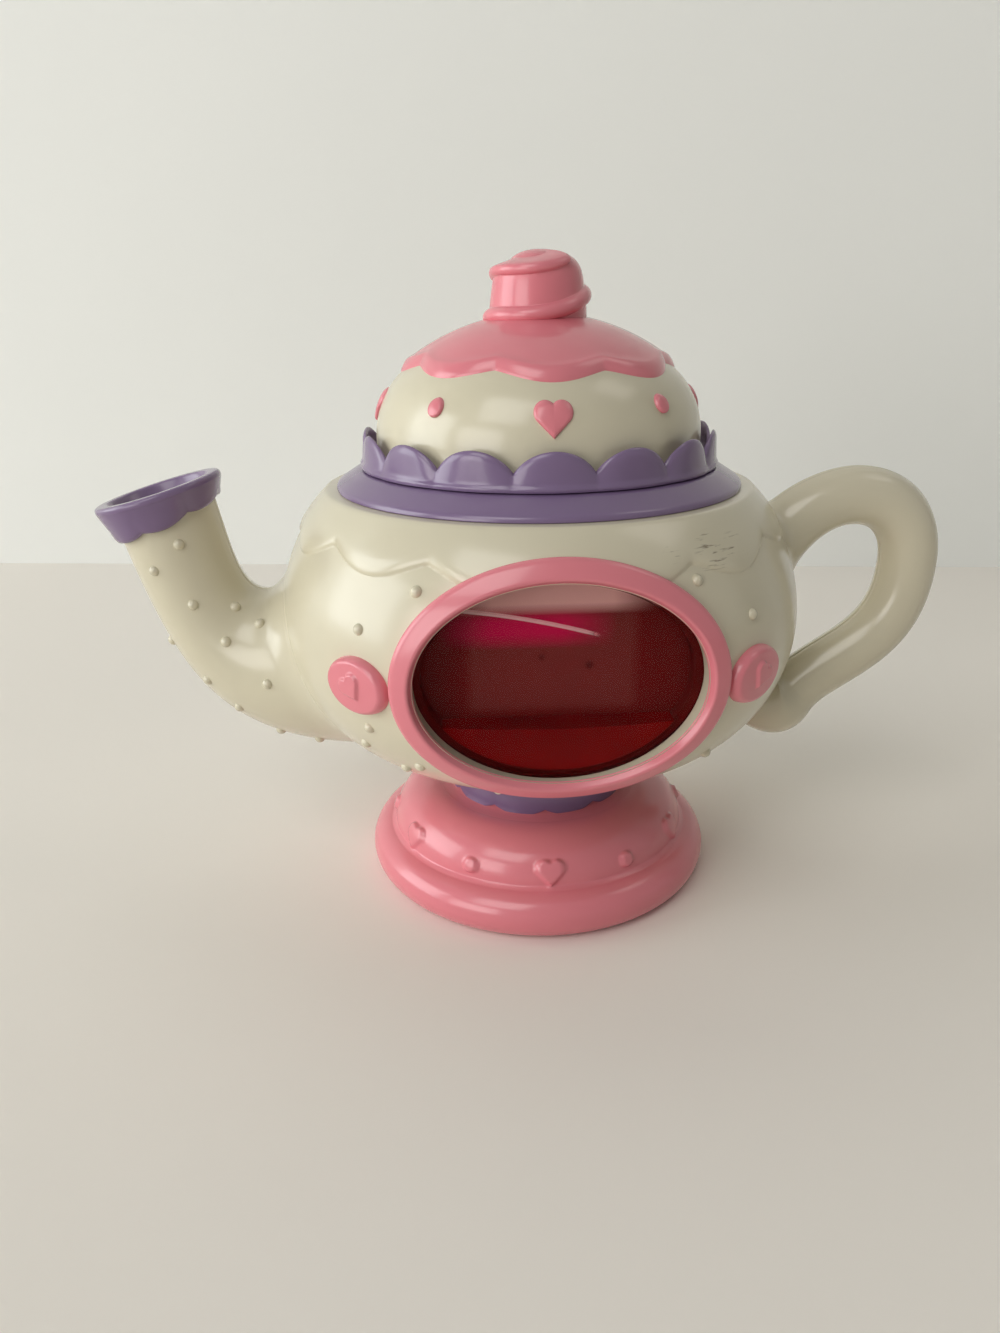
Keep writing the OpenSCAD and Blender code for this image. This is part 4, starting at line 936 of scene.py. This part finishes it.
wells = [screw_well(x, z, 1, WELL_R, WELL_BORE) for x, z in SCREW_WELLS]
posts = [screw_well(x, z, -1, POST_R, 0.0) for x, z in SCREW_WELLS]
heart_turn, dot_turn = around(72, 90.0), around(32)
hearts = [lid_motif(heart_edge(heart_turn, HEART_W), heart_turn, a, DOME_Z + 8.2) for a in (0, 90, 180, 270)]
dots = [lid_motif(DOT_R + 0 * dot_turn, dot_turn, a, DOME_Z + 10.2) for a in (41, 139, 221, 319)]
pieces = [
    ("screw_posts", wells + posts, 50, cream, "cream", "pot"),
    ("window_sleeve", [window_sleeve()], 30, cream, "cream", "pot"),
    ("bowl_pearls", pearls_on_bowl(), 50, cream, "cream", "pot"),
    ("spout_skin", spout_skin(), 80, cream, "cream", "pot", "spout_front", "spout_rear"),
    ("spout_pearls", pearls_on_spout(), 50, cream, "cream", "pot"),
    ("spout_rim_skin", spout_rim(), 60, purple, "purple", "pot", "spout_rim"),
    ("handle_skin", handle_skin(), 80, cream, "cream", "pot", "handle_front", "handle_rear"),
    ("window_frame_skin", window_frame(), 60, pink, "pink", "pot", "window_frame"),
    ("window_lens_skin", window_lens(), 40, lens_clear, "clear", "pot", "window_lens"),
    ("left_medallion_skin", medallion(-1), 70, pink, "pink", "pot", "left_medallion"),
    ("right_medallion_skin", medallion(1), 70, pink, "pink", "pot", "right_medallion"),
    ("collar_skin", collar(), 60, purple, "purple", "pot", "collar"),
    ("pedestal_skin", pedestal(), 60, pink, "pink", "pot", "pedestal"),
    ("neck_skirt_skin", neck_skirt(), 60, purple, "purple", "pot", "neck_skirt"),
    ("lid_dome_skin", lid_dome(), 60, cream, "cream", "lid", "lid_dome"),
    ("lid_ruffle_skin", lid_ruffle(), 60, purple, "purple", "lid", "lid_ruffle"),
    ("lid_icing_skin", lid_icing(), 70, pink, "pink", "lid", "lid_icing"),
    ("lid_hearts_skin", hearts, 70, pink, "pink", "lid", "lid_hearts"),
    ("lid_dots_skin", dots, 70, pink, "pink", "lid", "lid_dots"),
    ("lid_knob_skin", lid_knob(), 80, pink, "pink", "lid", "lid_knob")]
for name, patches, sharp, material, slot, body, *nodes in pieces:
    dress(make_piece(name, patches, sharp), material, slot, body, *nodes)

finishes = {"tea_tank": tray_stain_and_reflections, "tea": tea_red, "filler_plug": rubber, "tank_strap": cream, "foot_plate": pink,
            "tank_screws": steel, "shell_screws": steel, "pedestal_screws": steel, "knob_screw": steel}
for node, material in finishes.items():
    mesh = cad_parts[node].data
    mesh.materials.clear()
    mesh.materials.append(material)


# Stage, light and camera

def stage_sheet(name, corners, colour):
    """A plain pale sheet of the studio, with a faint mottle."""
    mesh = bpy.data.meshes.new(name)
    mesh.from_pydata(corners, [], [(0, 1, 2, 3)])
    sheet = bpy.data.objects.new(name, mesh)
    bpy.context.scene.collection.objects.link(sheet)
    material, tree, shader, where = blank(name + "_paint")
    mottle = noise(tree, where, 6.0)
    tint = blend(tree, mottle, colour + (1,), tuple(0.97 * c for c in colour) + (1,))
    wire(tree, shader, {"Base Color": tint, "Roughness": 0.9, "Specular IOR Level": 0.1})
    mesh.materials.append(material)


WALL_LEFT, WALL_RIGHT = (-3.0, 0.677), (3.0, -0.003)
stage_sheet("table_top", [(-3, -3, 0), (3, -3, 0), WALL_RIGHT + (0,), WALL_LEFT + (0,)], (0.90, 0.86, 0.80))
stage_sheet("back_wall", [WALL_LEFT + (0,), WALL_RIGHT + (0,), WALL_RIGHT + (3,), WALL_LEFT + (3,)],
            (0.90, 0.91, 0.88))


def soft_lamp(name, place, target, size, watts, colour):
    """A square lamp at a place, turned to a target."""
    lamp = bpy.data.lights.new(name, "AREA")
    lamp.shape, lamp.size, lamp.energy, lamp.color = "SQUARE", size, watts, colour
    held = bpy.data.objects.new(name, lamp)
    held.location = place
    held.rotation_euler = (Vector(target) - Vector(place)).to_track_quat("-Z", "Y").to_euler()
    bpy.context.scene.collection.objects.link(held)


soft_lamp("left_window", (-2.4, -0.15, 0.75), (0, 0, 0.09), 1.5, 27.0, (0.96, 1.0, 1.0))
soft_lamp("front_left", (-1.7, -2.6, 3.4), (0, 0, 0.08), 2.4, 54.0, (1.0, 0.99, 0.96))
soft_lamp("front_low", (-1.9, -1.9, 0.5), (0, 0, 0.06), 1.5, 25.0, (1.0, 0.98, 0.95))
soft_lamp("right_ceiling", (1.0, -0.05, 1.5), (0, 0, 0.05), 0.6, 1.6, (1.0, 0.93, 0.84))

world = bpy.data.worlds.new("studio")
bpy.context.scene.world = world
world.use_nodes = True
sky, air = world.node_tree.nodes["Background"], world.node_tree
ray = add(air, "ShaderNodeLightPath").outputs
seen = maths(air, "MAXIMUM", ray["Is Glossy Ray"], ray["Is Transmission Ray"])
seen = maths(air, "MAXIMUM", ray["Is Camera Ray"], seen)
wire(air, sky, {"Color": (1.0, 0.99, 0.96, 1), "Strength": fit(air, seen, 0.0, 1.0, 0.05, 0.6)})

CAMERA_AT = Vector((-0.0231, -0.2602, 0.1600))
YAW, PITCH, ROLL, LENS_MM = math.radians(2.7), math.radians(21.01), math.radians(-0.75), 26.0
ahead = Vector((math.sin(YAW) * math.cos(PITCH), math.cos(YAW) * math.cos(PITCH), -math.sin(PITCH)))
right = Vector((math.cos(YAW), -math.sin(YAW), 0))
camera = bpy.data.objects.new("camera", bpy.data.cameras.new("camera"))
axes = Matrix((right, right.cross(ahead), -ahead)).transposed() @ Matrix.Rotation(ROLL, 3, "Z")
camera.matrix_world = Matrix.Translation(CAMERA_AT) @ axes.to_4x4()
camera.data.lens, camera.data.sensor_width, camera.data.clip_start = LENS_MM, 36.0, 0.01
bpy.context.scene.collection.objects.link(camera)
bpy.context.scene.camera = camera
bpy.context.scene.view_settings.view_transform = "Standard"
